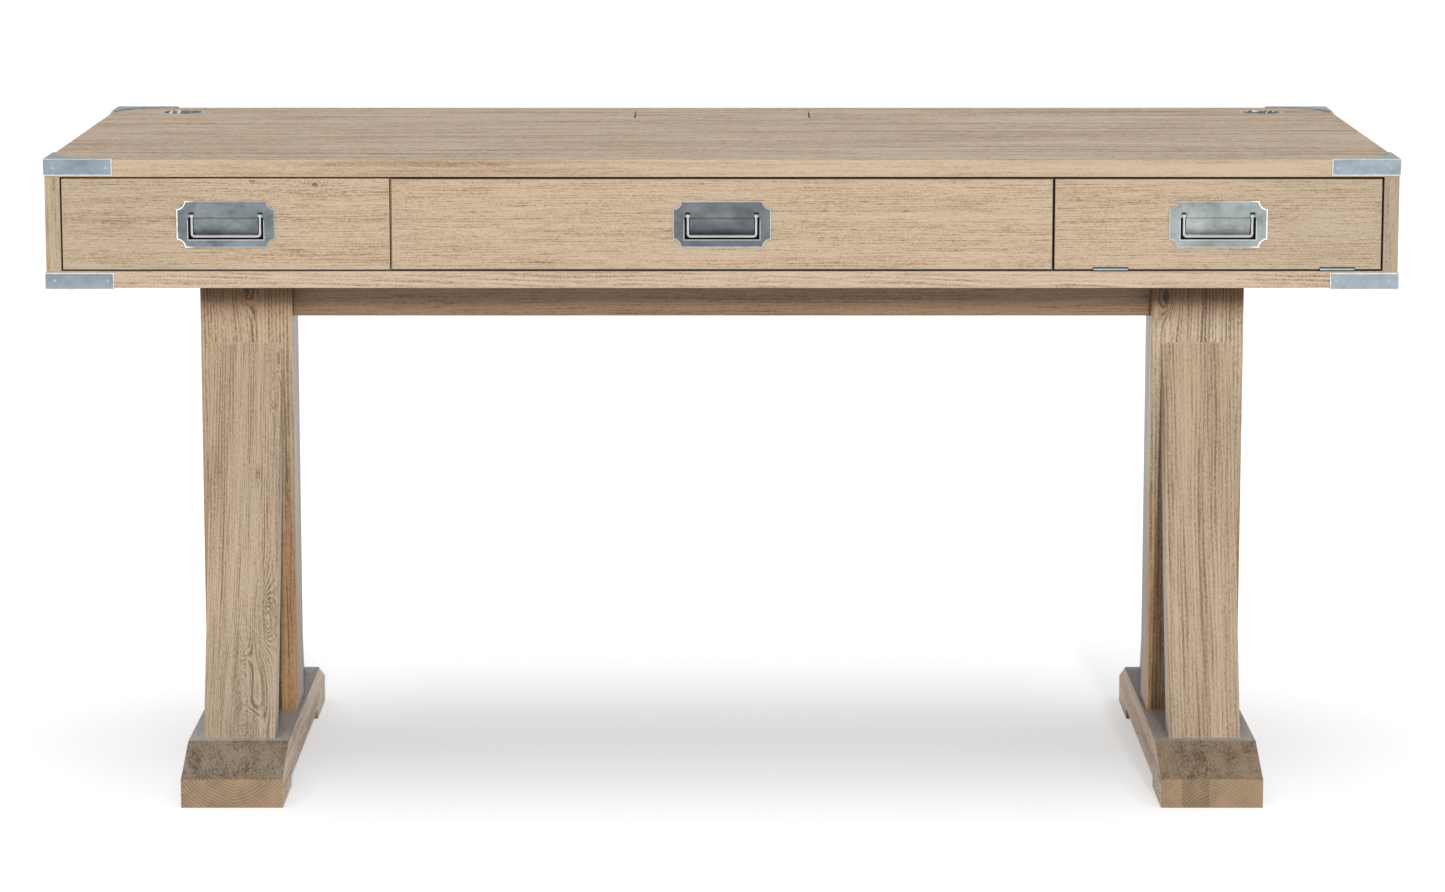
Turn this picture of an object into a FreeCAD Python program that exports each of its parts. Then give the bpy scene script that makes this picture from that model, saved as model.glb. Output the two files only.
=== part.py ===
import FreeCAD, Part
import math
import os

# Writing desk in pale oak with metal corner brackets.
# A shallow case with two drawers and a drop front stands on two trestle
# pedestals joined by a stretcher. Lengths are in millimetres, +Z is up, the
# front faces -Y and the origin lies on the floor under the middle of the desk.

# Case
top_width = 1600.0
top_depth = 700.0
slab_thickness = 20.0
opening_height = 112.0
side_thickness = 18.0
back_thickness = 18.0
divider_thickness = 18.0
divider_spacing = 784.0
arris_radius = 1.0
parallel_share = 0.001

# Drawer fronts and drop front
front_thickness = 18.0
front_gap = 2.0
front_seat_gap = 0.3

# Drawer boxes
drawer_side_thickness = 14.0
drawer_length = 480.0
drawer_back_thickness = 12.0
drawer_floor_gap = 10.0
drawer_ceiling_gap = 18.0
drawer_wall_gap = 1.0
drawer_bottom_thickness = 6.0
drawer_bottom_rise = 8.0
drawer_groove_depth = 6.0
drawer_groove_slack = 0.2

# Wooden drawer runners
runner_height = 16.0
runner_reach = 9.0
runner_length = 450.0
runner_setback = 8.0
runner_end_slack = 0.5
runner_groove_lead = 5.0
runner_slack = 0.3

# Pedestals
pedestal_inset = 204.5
foot_length = 614.0
foot_width = 124.0
foot_height = 64.0
foot_end_height = 35.0
foot_slope_run = 87.0
foot_pad_length = 115.0
foot_relief_height = 13.0
foot_arris_radius = 1.5
post_width = 115.0
post_depth = 81.0
post_height = 578.0
brace_width = 88.0
brace_thickness = 38.0
brace_head_drop = 108.0
brace_toe_setback = 14.0
stretcher_height = 78.0
stretcher_thickness = 25.0
post_tenon_length = 25.0
post_tenon_width = 75.0
post_tenon_depth = 41.0
stretcher_tenon_length = 20.0
stretcher_tenon_height = 54.0
stretcher_tenon_thickness = 13.0
tenon_slack = 0.2
post_screw_radius = 4.0
post_screw_length = 70.0
post_screw_head_radius = 7.0
post_screw_head_height = 4.0
post_screw_spacing = 50.0
post_screw_slack = 0.2

# Corner brackets and their pins
bracket_leg = 80.0
bracket_bare_edge = 2.0
bracket_thickness = 1.6
bracket_tip = 3.0
bracket_corner_radius = 1.2
pin_head_radius = 1.6
pin_head_height = 0.8
pin_shank_radius = 0.7
pin_shank_length = 7.0
pin_corner_inset = 10.5
pin_end_inset = 7.0
pin_slack = 0.1

# Pulls: notched plate, recess with scoop, hanging bail
plate_width = 116.0
plate_height = 55.0
plate_thickness = 1.5
plate_notch_radius = 9.5
plate_edge_radius = 0.4
plate_mouth_radius = 0.4
recess_width = 89.0
recess_height = 25.5
recess_drop = 5.3
recess_depth = 12.0
scoop_side_gap = 6.5
scoop_lip = 1.0
scoop_middle_depth = 3.4
scoop_foot_gap = 2.6
cup_wall = 1.5
cup_slack = 0.3
ear_width = 6.2
ear_top_gap = 2.0
ear_depth = 6.5
bail_side_inset = 4.2
bail_foot_gap = 1.9
bail_rod_radius = 1.5
bail_bend_radius = 3.4
bail_eye_radius = 2.2
bail_eye_length = 4.2
bail_pivot_rise = 2.4
bail_pivot_depth = 2.4
bail_pivot_radius = 1.0
bail_pivot_reach = 1.5
bail_pivot_slack = 0.05
pull_screw_radius = 1.5
pull_screw_spacing = 50.0
pull_screw_rise = 4.0
pull_screw_grip = 7.0
pull_screw_head_radius = 3.0
pull_screw_head_height = 2.2
pull_screw_slack = 0.1

# Drop front hinges and catch
hinge_left_inset = 67.0
hinge_right_inset = 52.0
hinge_length = 40.5
hinge_middle_length = 16.5
hinge_knuckle_gap = 0.4
hinge_barrel_radius = 2.1
hinge_floor_gap = 0.3
hinge_axis_setback = 0.8
hinge_pin_radius = 1.0
hinge_pin_slack = 0.05
hinge_leaf_thickness = 1.5
hinge_leaf_width = 14.0
hinge_notch_slack = 0.8
catch_length = 40.0
catch_height = 10.0
catch_depth = 14.0
catch_gap = 0.3
strike_length = 32.0
strike_height = 9.0
strike_thickness = 1.2

# Cable lid in the top
lid_width = 225.0
lid_depth = 104.0
lid_thickness = 12.0
lid_rear_inset = 50.5
lid_end_gap = 1.5
lid_edge_gap = 1.0
lid_ledge = 6.0
lid_notch_length = 17.0
lid_notch_width = 9.0
lid_notch_offset = 45.0

# Cable grommets
grommet_side_inset = 92.5
grommet_rear_inset = 67.0
grommet_bore_radius = 25.0
grommet_wall = 2.0
grommet_lip = 2.0
grommet_flange_thickness = 1.5
grommet_barrel_length = 23.0
grommet_seat_reach = 3.0
grommet_seat_depth = 5.5
grommet_seat_thickness = 2.0
grommet_hole_slack = 0.2
cap_gap = 0.4
cap_thickness = 2.5
cap_rim_radius = 0.6
cap_slot_width = 10.0
cap_slot_depth = 15.0

# Cable outlets in the back panel
outlet_width = 120.0
outlet_height = 30.0

# One overrun for all cuts
overrun = 5.0

# Levels and planes that follow from the sizes above
underside_z = foot_height + post_height
floor_z = underside_z + slab_thickness
ceiling_z = floor_z + opening_height
top_z = ceiling_z + slab_thickness
half_width = top_width / 2
front_y = -top_depth / 2
back_y = top_depth / 2
inner_x = half_width - side_thickness
divider_x = divider_spacing / 2
pedestal_x = half_width - pedestal_inset
brace_head_z = underside_z - brace_head_drop
brace_toe_y = foot_length / 2 - foot_slope_run - brace_toe_setback
bracket_strip = slab_thickness - bracket_bare_edge
drawer_side_height = opening_height - drawer_floor_gap - drawer_ceiling_gap
runner_groove_depth = runner_reach - drawer_wall_gap + runner_end_slack
scoop_width = recess_width - scoop_side_gap * 2
ear_height = bail_pivot_rise + bail_eye_radius + ear_top_gap
bail_span = recess_width - bail_side_inset * 2
bail_drop = bail_pivot_rise + recess_height - bail_rod_radius - bail_foot_gap
grommet_barrel_radius = grommet_bore_radius + grommet_wall
grommet_flange_radius = grommet_barrel_radius + grommet_lip
grommet_seat_radius = grommet_bore_radius - grommet_seat_reach
cap_radius = grommet_bore_radius - cap_gap
seat_y = front_y + front_thickness
fronts_bottom_z = floor_z + front_gap
fronts_top_z = ceiling_z - front_gap
fronts_middle_z = (fronts_bottom_z + fronts_top_z) / 2
bay_edges = {
    "left": (-inner_x, -divider_x - divider_thickness / 2),
    "centre": (-divider_x + divider_thickness / 2, divider_x - divider_thickness / 2),
    "right": (divider_x + divider_thickness / 2, inner_x),
}
front_edges = {
    "left": (-inner_x + front_gap, -divider_x - front_gap / 2),
    "centre": (-divider_x + front_gap / 2, divider_x - front_gap / 2),
    "right": (divider_x + front_gap / 2, inner_x - front_gap),
}
hinge_axis_y = front_y + hinge_axis_setback
hinge_axis_z = floor_z + hinge_floor_gap + hinge_barrel_radius
X_AXIS = FreeCAD.Vector(1, 0, 0)
Y_AXIS = FreeCAD.Vector(0, 1, 0)
Z_AXIS = FreeCAD.Vector(0, 0, 1)
ORIGIN = FreeCAD.Vector(0, 0, 0)


def block(x_span, y_span, z_span):
    """Return the box between the lower and upper value of each span."""
    low = FreeCAD.Vector(x_span[0], y_span[0], z_span[0])
    return Part.makeBox(x_span[1] - x_span[0], y_span[1] - y_span[0], z_span[1] - z_span[0], low)


def around(centre, size):
    """Return the span of the given size about a centre."""
    return (centre - size / 2, centre + size / 2)


def rod(radius, length, start, direction):
    """Return a cylinder that runs from start along direction."""
    return Part.makeCylinder(radius, length, start, direction)


def joined(shapes):
    """Return the shapes fused into one solid, with split faces merged."""
    return shapes[0].multiFuse(shapes[1:]).removeSplitter()


def group(shapes):
    """Return separate solids as one compound."""
    return Part.makeCompound(shapes)


def eased(shape, radius):
    """Return the shape with every edge rounded."""
    return shape.makeFillet(radius, shape.Edges)


def eased_along(shape, radius, direction):
    """Return the shape with the straight edges along one direction rounded."""
    edges = []
    for edge in shape.Edges:
        if edge.tangentAt(edge.FirstParameter).cross(direction).Length < parallel_share:
            edges.append(edge)
    return shape.makeFillet(radius, edges)


def prism(points, x_span):
    """Return the outline of (y, z) points, pulled along X over the span."""
    corners = [FreeCAD.Vector(x_span[0], y, z) for y, z in points]
    face = Part.Face(Part.makePolygon(corners + corners[:1]))
    return face.extrude(X_AXIS * (x_span[1] - x_span[0]))


def mirrored(shape, flip_x, flip_y, flip_z, centre_z):
    """Return the shape mirrored in the desk's middle planes where asked."""
    if flip_x:
        shape = shape.mirror(ORIGIN, X_AXIS)
    if flip_y:
        shape = shape.mirror(ORIGIN, Y_AXIS)
    if flip_z:
        shape = shape.mirror(Z_AXIS * centre_z, Z_AXIS)
    return shape


# Case panels

def lid_opening():
    """Return the stepped cut for the cable lid and its ledge."""
    y_low, y_high = lid_span_y()
    x_span = around(0, lid_width + lid_end_gap * 2)
    y_span = (y_low - lid_edge_gap, y_high + lid_edge_gap)
    rebate = block(x_span, y_span, (top_z - lid_thickness, top_z + overrun))
    x_inner = (x_span[0] + lid_ledge, x_span[1] - lid_ledge)
    y_inner = (y_span[0] + lid_ledge, y_span[1] - lid_ledge)
    return rebate.fuse(block(x_inner, y_inner, (ceiling_z - overrun, top_z)))


def lid_span_y():
    """Return the front and rear edge of the cable lid."""
    rear = back_y - lid_rear_inset
    return (rear - lid_depth, rear)


def grommet_centre(side):
    """Return the centre of a grommet on the top's upper face."""
    return FreeCAD.Vector(side * (half_width - grommet_side_inset), back_y - grommet_rear_inset, top_z)


def grommet_hole(side):
    """Return the stepped hole that holds a grommet ring."""
    centre = grommet_centre(side)
    hole = rod(grommet_barrel_radius + grommet_hole_slack, slab_thickness + overrun * 2,
               centre - Z_AXIS * (slab_thickness + overrun), Z_AXIS)
    rebate = rod(grommet_flange_radius + grommet_hole_slack, grommet_flange_thickness + overrun,
                 centre - Z_AXIS * grommet_flange_thickness, Z_AXIS)
    return hole.fuse(rebate)


def top_panel():
    """Return the top slab with the lid opening and the grommet holes."""
    slab = eased(block(around(0, top_width), around(0, top_depth), (ceiling_z, top_z)), arris_radius)
    return slab.cut([lid_opening(), grommet_hole(-1), grommet_hole(1)] + pin_holes("top"))


def bottom_panel():
    """Return the bottom slab with screw holes and the hinge leaf recesses."""
    slab = block(around(0, top_width), around(0, top_depth), (underside_z, floor_z))
    slab = eased(slab, arris_radius)
    cuts = post_screw_holes() + pin_holes("bottom")
    for x in hinge_places():
        leaf_y = (front_y + arris_radius, hinge_axis_y + hinge_leaf_width)
        cuts.append(block(around(x, hinge_length), leaf_y,
                          (floor_z - hinge_leaf_thickness, floor_z + overrun)))
    return slab.cut(cuts)


def side_panel(side):
    """Return a side panel, upright between the two slabs."""
    panel = block((inner_x, half_width), around(0, top_depth), (floor_z, ceiling_z))
    panel = eased_along(panel, arris_radius, Z_AXIS)
    return mirrored(panel, side < 0, False, False, 0)


def back_panel():
    """Return the back panel with a cable outlet behind each bay."""
    panel = block((-inner_x, inner_x), (back_y - back_thickness, back_y), (floor_z, ceiling_z))
    cuts = []
    for low, high in bay_edges.values():
        cuts.append(block(around((low + high) / 2, outlet_width),
                          (back_y - back_thickness - overrun, back_y + overrun),
                          (floor_z - overrun, floor_z + outlet_height)))
    return panel.cut(cuts)


def divider(side):
    """Return an upright between two bays, behind the gap of two fronts."""
    return block(around(side * divider_x, divider_thickness),
                 (seat_y + front_seat_gap, back_y - back_thickness), (floor_z, ceiling_z))


def runner_level():
    """Return the height of the lower edge of the drawer runners."""
    return floor_z + drawer_floor_gap + (drawer_side_height - runner_height) / 2


def drawer_runners():
    """Return the wooden runners of both drawer bays as separate solids."""
    y_low = seat_y + runner_setback
    level = runner_level()
    runners = []
    for bay in ("left", "centre"):
        low, high = bay_edges[bay]
        for x_span in ((low, low + runner_reach), (high - runner_reach, high)):
            runners.append(block(x_span, (y_low, y_low + runner_length), (level, level + runner_height)))
    return group(runners)


# Pedestals

def foot(side):
    """Return a sled foot with sloped ends, two pads and a post mortise."""
    half = foot_length / 2
    shoulder = half - foot_slope_run
    pad = half - foot_pad_length
    outline = [(-half, 0), (-half, foot_end_height), (-shoulder, foot_height), (shoulder, foot_height),
               (half, foot_end_height), (half, 0), (pad, 0), (pad, foot_relief_height),
               (-pad, foot_relief_height), (-pad, 0)]
    body = prism(outline, around(0, foot_width))
    edges = [edge for edge in body.Edges if edge.CenterOfMass.z > foot_relief_height]
    body = body.makeFillet(foot_arris_radius, edges)
    mortise = block(around(0, post_tenon_width + tenon_slack * 2),
                    around(0, post_tenon_depth + tenon_slack * 2),
                    (foot_height - post_tenon_length - tenon_slack, foot_height + overrun))
    body = body.cut(mortise)
    body.translate(X_AXIS * side * pedestal_x)
    return body


def stretcher_span_z():
    """Return the lower and upper edge of the stretcher."""
    return (underside_z - stretcher_height, underside_z)


def stretcher_tenon_span_z(slack):
    """Return the height that a stretcher tenon takes, with slack around it."""
    low, high = stretcher_span_z()
    middle = (low + high) / 2
    return around(middle, stretcher_tenon_height + slack * 2)


def post(side):
    """Return a post with its foot tenon and the mortise of the stretcher."""
    body = block(around(0, post_width), around(0, post_depth), (foot_height, underside_z))
    body = eased_along(body, arris_radius, Z_AXIS)
    tenon = block(around(0, post_tenon_width), around(0, post_tenon_depth),
                  (foot_height - post_tenon_length, foot_height))
    body = joined([body, tenon])
    mortise = block((post_width / 2 - stretcher_tenon_length - tenon_slack, post_width / 2 + overrun),
                    around(0, stretcher_tenon_thickness + tenon_slack * 2),
                    stretcher_tenon_span_z(tenon_slack))
    body = body.cut(mortise)
    if side > 0:
        body = body.mirror(ORIGIN, X_AXIS)
    body.translate(X_AXIS * side * pedestal_x)
    return body.cut(post_screw_holes())


def brace(side, end):
    """Return a slanted brace, mitred to the post and cut flat on the foot."""
    face_y = post_depth / 2
    lean = math.atan((brace_toe_y - face_y) / (brace_head_z - foot_height))
    run = brace_thickness / math.cos(lean)
    heel_z = brace_head_z - run / math.tan(lean)
    outline = [(face_y, brace_head_z), (brace_toe_y, foot_height),
               (brace_toe_y - run, foot_height), (face_y, heel_z)]
    body = prism(outline, around(0, brace_width))
    slope = FreeCAD.Vector(0, brace_toe_y - face_y, foot_height - brace_head_z)
    body = eased_along(body, arris_radius, slope.normalize())
    body.translate(X_AXIS * side * pedestal_x)
    return mirrored(body, False, end < 0, False, 0)


def stretcher():
    """Return the rail between the posts, tenoned into both."""
    reach = pedestal_x - post_width / 2
    rail = block(around(0, reach * 2), around(0, stretcher_thickness), stretcher_span_z())
    rail = eased_along(rail, arris_radius, X_AXIS)
    tenon = block(around(0, (reach + stretcher_tenon_length) * 2),
                  around(0, stretcher_tenon_thickness), stretcher_tenon_span_z(0))
    return joined([rail, tenon])


def post_screw_places():
    """Return the X of each screw that holds the case on a post."""
    places = []
    for side in (-1, 1):
        for end in (-1, 1):
            places.append(side * pedestal_x + end * post_screw_spacing / 2)
    return places


def post_screw_holes():
    """Return the holes of the case screws, through the slab and into the posts."""
    holes = []
    for x in post_screw_places():
        start = FreeCAD.Vector(x, 0, floor_z + overrun)
        depth = post_screw_length + post_screw_slack + overrun
        holes.append(rod(post_screw_radius + post_screw_slack, depth, start, -Z_AXIS))
    return holes


def post_screws():
    """Return the screws through the bottom slab into the posts."""
    screws = []
    for x in post_screw_places():
        seat = FreeCAD.Vector(x, 0, floor_z)
        shank = rod(post_screw_radius, post_screw_length, seat, -Z_AXIS)
        head = rod(post_screw_head_radius, post_screw_head_height, seat, Z_AXIS)
        screws.append(joined([shank, head]))
    return group(screws)


# Corner brackets

def bracket_pin_places():
    """Return the distances of the two pins from the wood's corner."""
    return (pin_corner_inset, bracket_leg - pin_end_inset)


def bracket_at_corner():
    """Return the bracket of the top front left corner."""
    outer = block((-bracket_thickness, bracket_leg), (-bracket_thickness, bracket_leg),
                  (-bracket_strip, bracket_thickness))
    edges = []
    for edge in outer.Edges:
        box = edge.BoundBox
        outside = [box.XMax < 0, box.YMax < 0, box.ZMin > 0]
        if sum(outside) == 2:
            edges.append(edge)
    outer = outer.makeFillet(bracket_corner_radius, edges)
    wood = block((0, bracket_leg + overrun), (0, bracket_leg + overrun), (-bracket_strip - overrun, 0))
    arc = rod(bracket_leg - bracket_tip, bracket_thickness + overrun * 2,
              FreeCAD.Vector(bracket_leg, bracket_leg, -overrun), Z_AXIS)
    return outer.cut([wood, arc] + pin_holes_at_corner())


def pin_holes_at_corner():
    """Return the holes of the top front left bracket's pins."""
    radius = pin_shank_radius + pin_slack
    depth = bracket_thickness + overrun + pin_shank_length + pin_slack
    holes = []
    for place in bracket_pin_places():
        front = FreeCAD.Vector(place, -bracket_thickness - overrun, -bracket_strip / 2)
        holes.append(rod(radius, depth, front, Y_AXIS))
        flank = FreeCAD.Vector(-bracket_thickness - overrun, place, -bracket_strip / 2)
        holes.append(rod(radius, depth, flank, X_AXIS))
    return holes


def pin_holes(level):
    """Return the pin holes of one slab, top or bottom."""
    holes = []
    for corner, shapes in at_every_corner(pin_holes_at_corner()):
        if corner.startswith(level):
            holes.extend(shapes)
    return holes


def pins_at_corner():
    """Return the domed pins of the top front left bracket."""
    dome_radius = (pin_head_radius ** 2 + pin_head_height ** 2) / (pin_head_height * 2)
    ball = Part.makeSphere(dome_radius, Z_AXIS * (pin_head_height - dome_radius))
    keep = block(around(0, pin_head_radius * 3), around(0, pin_head_radius * 3), (0, pin_head_height))
    shank = rod(pin_shank_radius, pin_shank_length + bracket_thickness, ORIGIN, -Z_AXIS)
    pin = joined([ball.common(keep), shank])
    pins = []
    for place in bracket_pin_places():
        front = pin.copy()
        front.rotate(ORIGIN, X_AXIS, 90)
        front.translate(FreeCAD.Vector(place, -bracket_thickness, -bracket_strip / 2))
        pins.append(front)
        flank = pin.copy()
        flank.rotate(ORIGIN, Y_AXIS, -90)
        flank.translate(FreeCAD.Vector(-bracket_thickness, place, -bracket_strip / 2))
        pins.append(flank)
    return pins


def at_every_corner(shapes):
    """Return a name and a mirrored copy of the shapes for each case corner."""
    middle_z = (underside_z + top_z) / 2
    corners = []
    for level, flip_z in (("top", False), ("bottom", True)):
        for depth, flip_y in (("front", False), ("rear", True)):
            for side, flip_x in (("left", False), ("right", True)):
                copies = []
                for shape in shapes:
                    copy = shape.copy()
                    copy.translate(FreeCAD.Vector(-half_width, front_y, top_z))
                    copies.append(mirrored(copy, flip_x, flip_y, flip_z, middle_z))
                corners.append((level + "_" + depth + "_" + side, copies))
    return corners


# Pulls

def pull_levels():
    """Return the recess bottom, recess top and bail pivot heights."""
    middle = fronts_middle_z - recess_drop
    bottom, top = around(middle, recess_height)
    return bottom, top, top + bail_pivot_rise


def pull_ears(x_middle):
    """Return the two slots that take the bail's eyes."""
    top = pull_levels()[1]
    y_face = front_y - plate_thickness
    ears = []
    for x in around(x_middle, bail_span):
        ears.append(block(around(x, ear_width), (y_face - overrun, y_face + ear_depth),
                          (top, top + ear_height)))
    return ears


def pull_screw_holes(x_middle, y_start, depth):
    """Return the holes of a pull's screws, from y_start towards the front."""
    holes = []
    for x in around(x_middle, pull_screw_spacing):
        start = FreeCAD.Vector(x, y_start, pull_levels()[1] + pull_screw_rise)
        holes.append(rod(pull_screw_radius + pull_screw_slack, depth, start, -Y_AXIS))
    return holes


def scoop(x_middle, y_back):
    """Return the curved finger scoop that stands in the recess."""
    bottom, top, _ = pull_levels()
    y_face = front_y - plate_thickness
    head = FreeCAD.Vector(0, y_face + scoop_lip, top)
    middle = FreeCAD.Vector(0, y_face + scoop_middle_depth, (top + bottom) / 2)
    toe = FreeCAD.Vector(0, y_back, bottom + scoop_foot_gap)
    heel = FreeCAD.Vector(0, y_back, top)
    outline = Part.Wire([Part.Arc(head, middle, toe).toShape(), Part.makeLine(toe, heel),
                         Part.makeLine(heel, head)])
    wedge = Part.Face(outline).extrude(X_AXIS * scoop_width)
    wedge.translate(X_AXIS * (x_middle - scoop_width / 2))
    return wedge


def cup_spans(x_middle, slack):
    """Return the outer spans of the cup behind the plate."""
    bottom, top, _ = pull_levels()
    return (around(x_middle, recess_width + (cup_wall + slack) * 2),
            (front_y, front_y + recess_depth + slack),
            (bottom - cup_wall - slack, top + ear_height + cup_wall + slack))


def mouth_edges(plate, x_middle):
    """Return the edges of the plate's face round the recess and the ear slots."""
    x_span, _, z_span = cup_spans(x_middle, 0)
    y_limit = front_y - plate_thickness + scoop_lip / 2
    edges = []
    for edge in plate.Edges:
        extent = edge.BoundBox
        in_width = x_span[0] < extent.XMin and extent.XMax < x_span[1]
        in_height = z_span[0] < extent.ZMin and extent.ZMax < z_span[1]
        if in_width and in_height and extent.YMax < y_limit:
            edges.append(edge)
    return edges


def pull_plate(x_middle):
    """Return the notched plate with its recess, scoop and ear slots."""
    bottom, top, pivot = pull_levels()
    y_face = front_y - plate_thickness
    plate = block(around(x_middle, plate_width), (y_face, front_y), around(fronts_middle_z, plate_height))
    notches = []
    for x in around(x_middle, plate_width):
        for z in around(fronts_middle_z, plate_height):
            notches.append(rod(plate_notch_radius, plate_thickness + overrun * 2,
                               FreeCAD.Vector(x, y_face - overrun, z), Y_AXIS))
    plate = plate.cut(notches)
    rim = [edge for edge in plate.Edges if edge.BoundBox.YMax < front_y - plate_thickness / 2]
    plate = plate.makeFillet(plate_edge_radius, rim)
    cup = block(*cup_spans(x_middle, 0))
    y_back = front_y + recess_depth - cup_wall
    hollow = block(around(x_middle, recess_width), (y_face - overrun, y_back), (bottom, top))
    hollow = hollow.cut(scoop(x_middle, y_back + overrun))
    cuts = [hollow] + pull_ears(x_middle)
    cuts += pull_screw_holes(x_middle, front_y + recess_depth, pull_screw_grip + pull_screw_slack)
    bore_length = ear_width + (bail_pivot_reach + bail_pivot_slack) * 2
    for x in around(x_middle, bail_span):
        start = FreeCAD.Vector(x - bore_length / 2, y_face + bail_pivot_depth, pivot)
        cuts.append(rod(bail_pivot_radius + bail_pivot_slack, bore_length, start, X_AXIS))
    plate = joined([plate, cup]).cut(cuts)
    return plate.makeFillet(plate_mouth_radius, mouth_edges(plate, x_middle))


def bail(x_middle):
    """Return the hanging handle with its eyes and pivot ends."""
    pivot = pull_levels()[2]
    y = front_y - plate_thickness + bail_pivot_depth
    bar_z = pivot - bail_drop
    shapes = []
    for side in (-1, 1):
        x = x_middle + side * bail_span / 2
        leg_top = FreeCAD.Vector(x, y, pivot)
        shapes.append(rod(bail_rod_radius, bail_drop - bail_bend_radius, leg_top, -Z_AXIS))
        eye_start = leg_top - X_AXIS * bail_eye_length / 2
        shapes.append(rod(bail_eye_radius, bail_eye_length, eye_start, X_AXIS))
        reach = ear_width / 2 + bail_pivot_reach
        shapes.append(rod(bail_pivot_radius, reach * 2, leg_top - X_AXIS * reach, X_AXIS))
        bend = Part.makeTorus(bail_bend_radius, bail_rod_radius, ORIGIN, Z_AXIS, -180, 180, 90)
        bend.rotate(ORIGIN, X_AXIS, -90)
        if side < 0:
            bend.rotate(ORIGIN, Y_AXIS, 90)
        bend.translate(FreeCAD.Vector(x - side * bail_bend_radius, y, bar_z + bail_bend_radius))
        shapes.append(bend)
    bar_start = FreeCAD.Vector(x_middle - bail_span / 2 + bail_bend_radius, y, bar_z)
    shapes.append(rod(bail_rod_radius, bail_span - bail_bend_radius * 2, bar_start, X_AXIS))
    return joined(shapes)


def pull_screws(x_middle):
    """Return the screws that hold a pull from inside the front."""
    top = pull_levels()[1]
    shank_length = front_thickness - recess_depth + pull_screw_grip
    screws = []
    for x in around(x_middle, pull_screw_spacing):
        seat = FreeCAD.Vector(x, seat_y, top + pull_screw_rise)
        shank = rod(pull_screw_radius, shank_length, seat, -Y_AXIS)
        head = rod(pull_screw_head_radius, pull_screw_head_height, seat, Y_AXIS)
        screws.append(joined([shank, head]))
    return group(screws)


# Fronts and drawers

def front_middle(bay):
    """Return the X of the middle of a front."""
    return sum(front_edges[bay]) / 2


def front_panel(bay):
    """Return a front with the pocket and screw holes of its pull."""
    x_middle = front_middle(bay)
    panel = block(front_edges[bay], (front_y, seat_y), (fronts_bottom_z, fronts_top_z))
    panel = eased(panel, arris_radius)
    x_cup, y_cup, z_cup = cup_spans(x_middle, cup_slack)
    pocket = block(x_cup, (y_cup[0] - overrun, y_cup[1]), z_cup)
    return panel.cut([pocket] + pull_screw_holes(x_middle, seat_y + overrun, front_thickness))


def drawer_spans(bay):
    """Return the outer spans of a drawer box behind its front."""
    low, high = bay_edges[bay]
    bottom = floor_z + drawer_floor_gap
    return ((low + drawer_wall_gap, high - drawer_wall_gap), (seat_y, seat_y + drawer_length),
            (bottom, bottom + drawer_side_height))


def drawer_side(bay, side):
    """Return a drawer side with its runner groove and bottom groove."""
    x_span, y_span, z_span = drawer_spans(bay)
    if side < 0:
        x_side = (x_span[0], x_span[0] + drawer_side_thickness)
        x_runner = (x_side[0] - overrun, x_side[0] + runner_groove_depth)
        x_bottom = (x_side[1] - drawer_groove_depth, x_side[1] + overrun)
    else:
        x_side = (x_span[1] - drawer_side_thickness, x_span[1])
        x_runner = (x_side[1] - runner_groove_depth, x_side[1] + overrun)
        x_bottom = (x_side[0] - overrun, x_side[0] + drawer_groove_depth)
    board = block(x_side, y_span, z_span)
    level = runner_level()
    bottom_z = z_span[0] + drawer_bottom_rise
    runner_groove = block(x_runner, (y_span[0] + runner_groove_lead, y_span[1] + overrun),
                          (level - runner_slack, level + runner_height + runner_slack))
    bottom_groove = block(x_bottom, (y_span[0] - overrun, y_span[1] + overrun),
                          (bottom_z - drawer_groove_slack,
                           bottom_z + drawer_bottom_thickness + drawer_groove_slack))
    return board.cut([runner_groove, bottom_groove])


def drawer_back(bay):
    """Return the drawer back, which stands on the drawer bottom."""
    x_span, y_span, z_span = drawer_spans(bay)
    x_back = (x_span[0] + drawer_side_thickness, x_span[1] - drawer_side_thickness)
    z_back = (z_span[0] + drawer_bottom_rise + drawer_bottom_thickness, z_span[1])
    return block(x_back, (y_span[1] - drawer_back_thickness, y_span[1]), z_back)


def drawer_bottom(bay):
    """Return the drawer bottom, held in the grooves of the sides."""
    x_span, y_span, z_span = drawer_spans(bay)
    reach = drawer_side_thickness - drawer_groove_depth + drawer_groove_slack
    bottom_z = z_span[0] + drawer_bottom_rise
    return block((x_span[0] + reach, x_span[1] - reach), y_span,
                 (bottom_z, bottom_z + drawer_bottom_thickness))


# Drop front

def hinge_places():
    """Return the X of the middle of each hinge."""
    low, high = front_edges["right"]
    return (low + hinge_left_inset, high - hinge_right_inset)


def drop_front():
    """Return the drop front with room for the hinge barrels and leaves."""
    panel = front_panel("right")
    clear = hinge_barrel_radius + hinge_notch_slack
    cuts = []
    for x in hinge_places():
        x_span = around(x, hinge_length + hinge_notch_slack * 2)
        cuts.append(block(x_span, (front_y - overrun, hinge_axis_y + clear),
                          (fronts_bottom_z - overrun, hinge_axis_z + clear)))
        cuts.append(block(around(x, hinge_length), (front_y, hinge_axis_y + hinge_leaf_width),
                          (fronts_bottom_z - overrun, fronts_bottom_z + hinge_leaf_thickness)))
    return panel.cut(cuts)


def knuckle(x_span):
    """Return one hinge knuckle about the hinge axis."""
    start = FreeCAD.Vector(x_span[0], hinge_axis_y, hinge_axis_z)
    return rod(hinge_barrel_radius, x_span[1] - x_span[0], start, X_AXIS)


def pin_bore(x):
    """Return the bore that takes a hinge pin."""
    start = FreeCAD.Vector(x - hinge_length / 2 - overrun, hinge_axis_y, hinge_axis_z)
    return rod(hinge_pin_radius + hinge_pin_slack, hinge_length + overrun * 2, start, X_AXIS)


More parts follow.
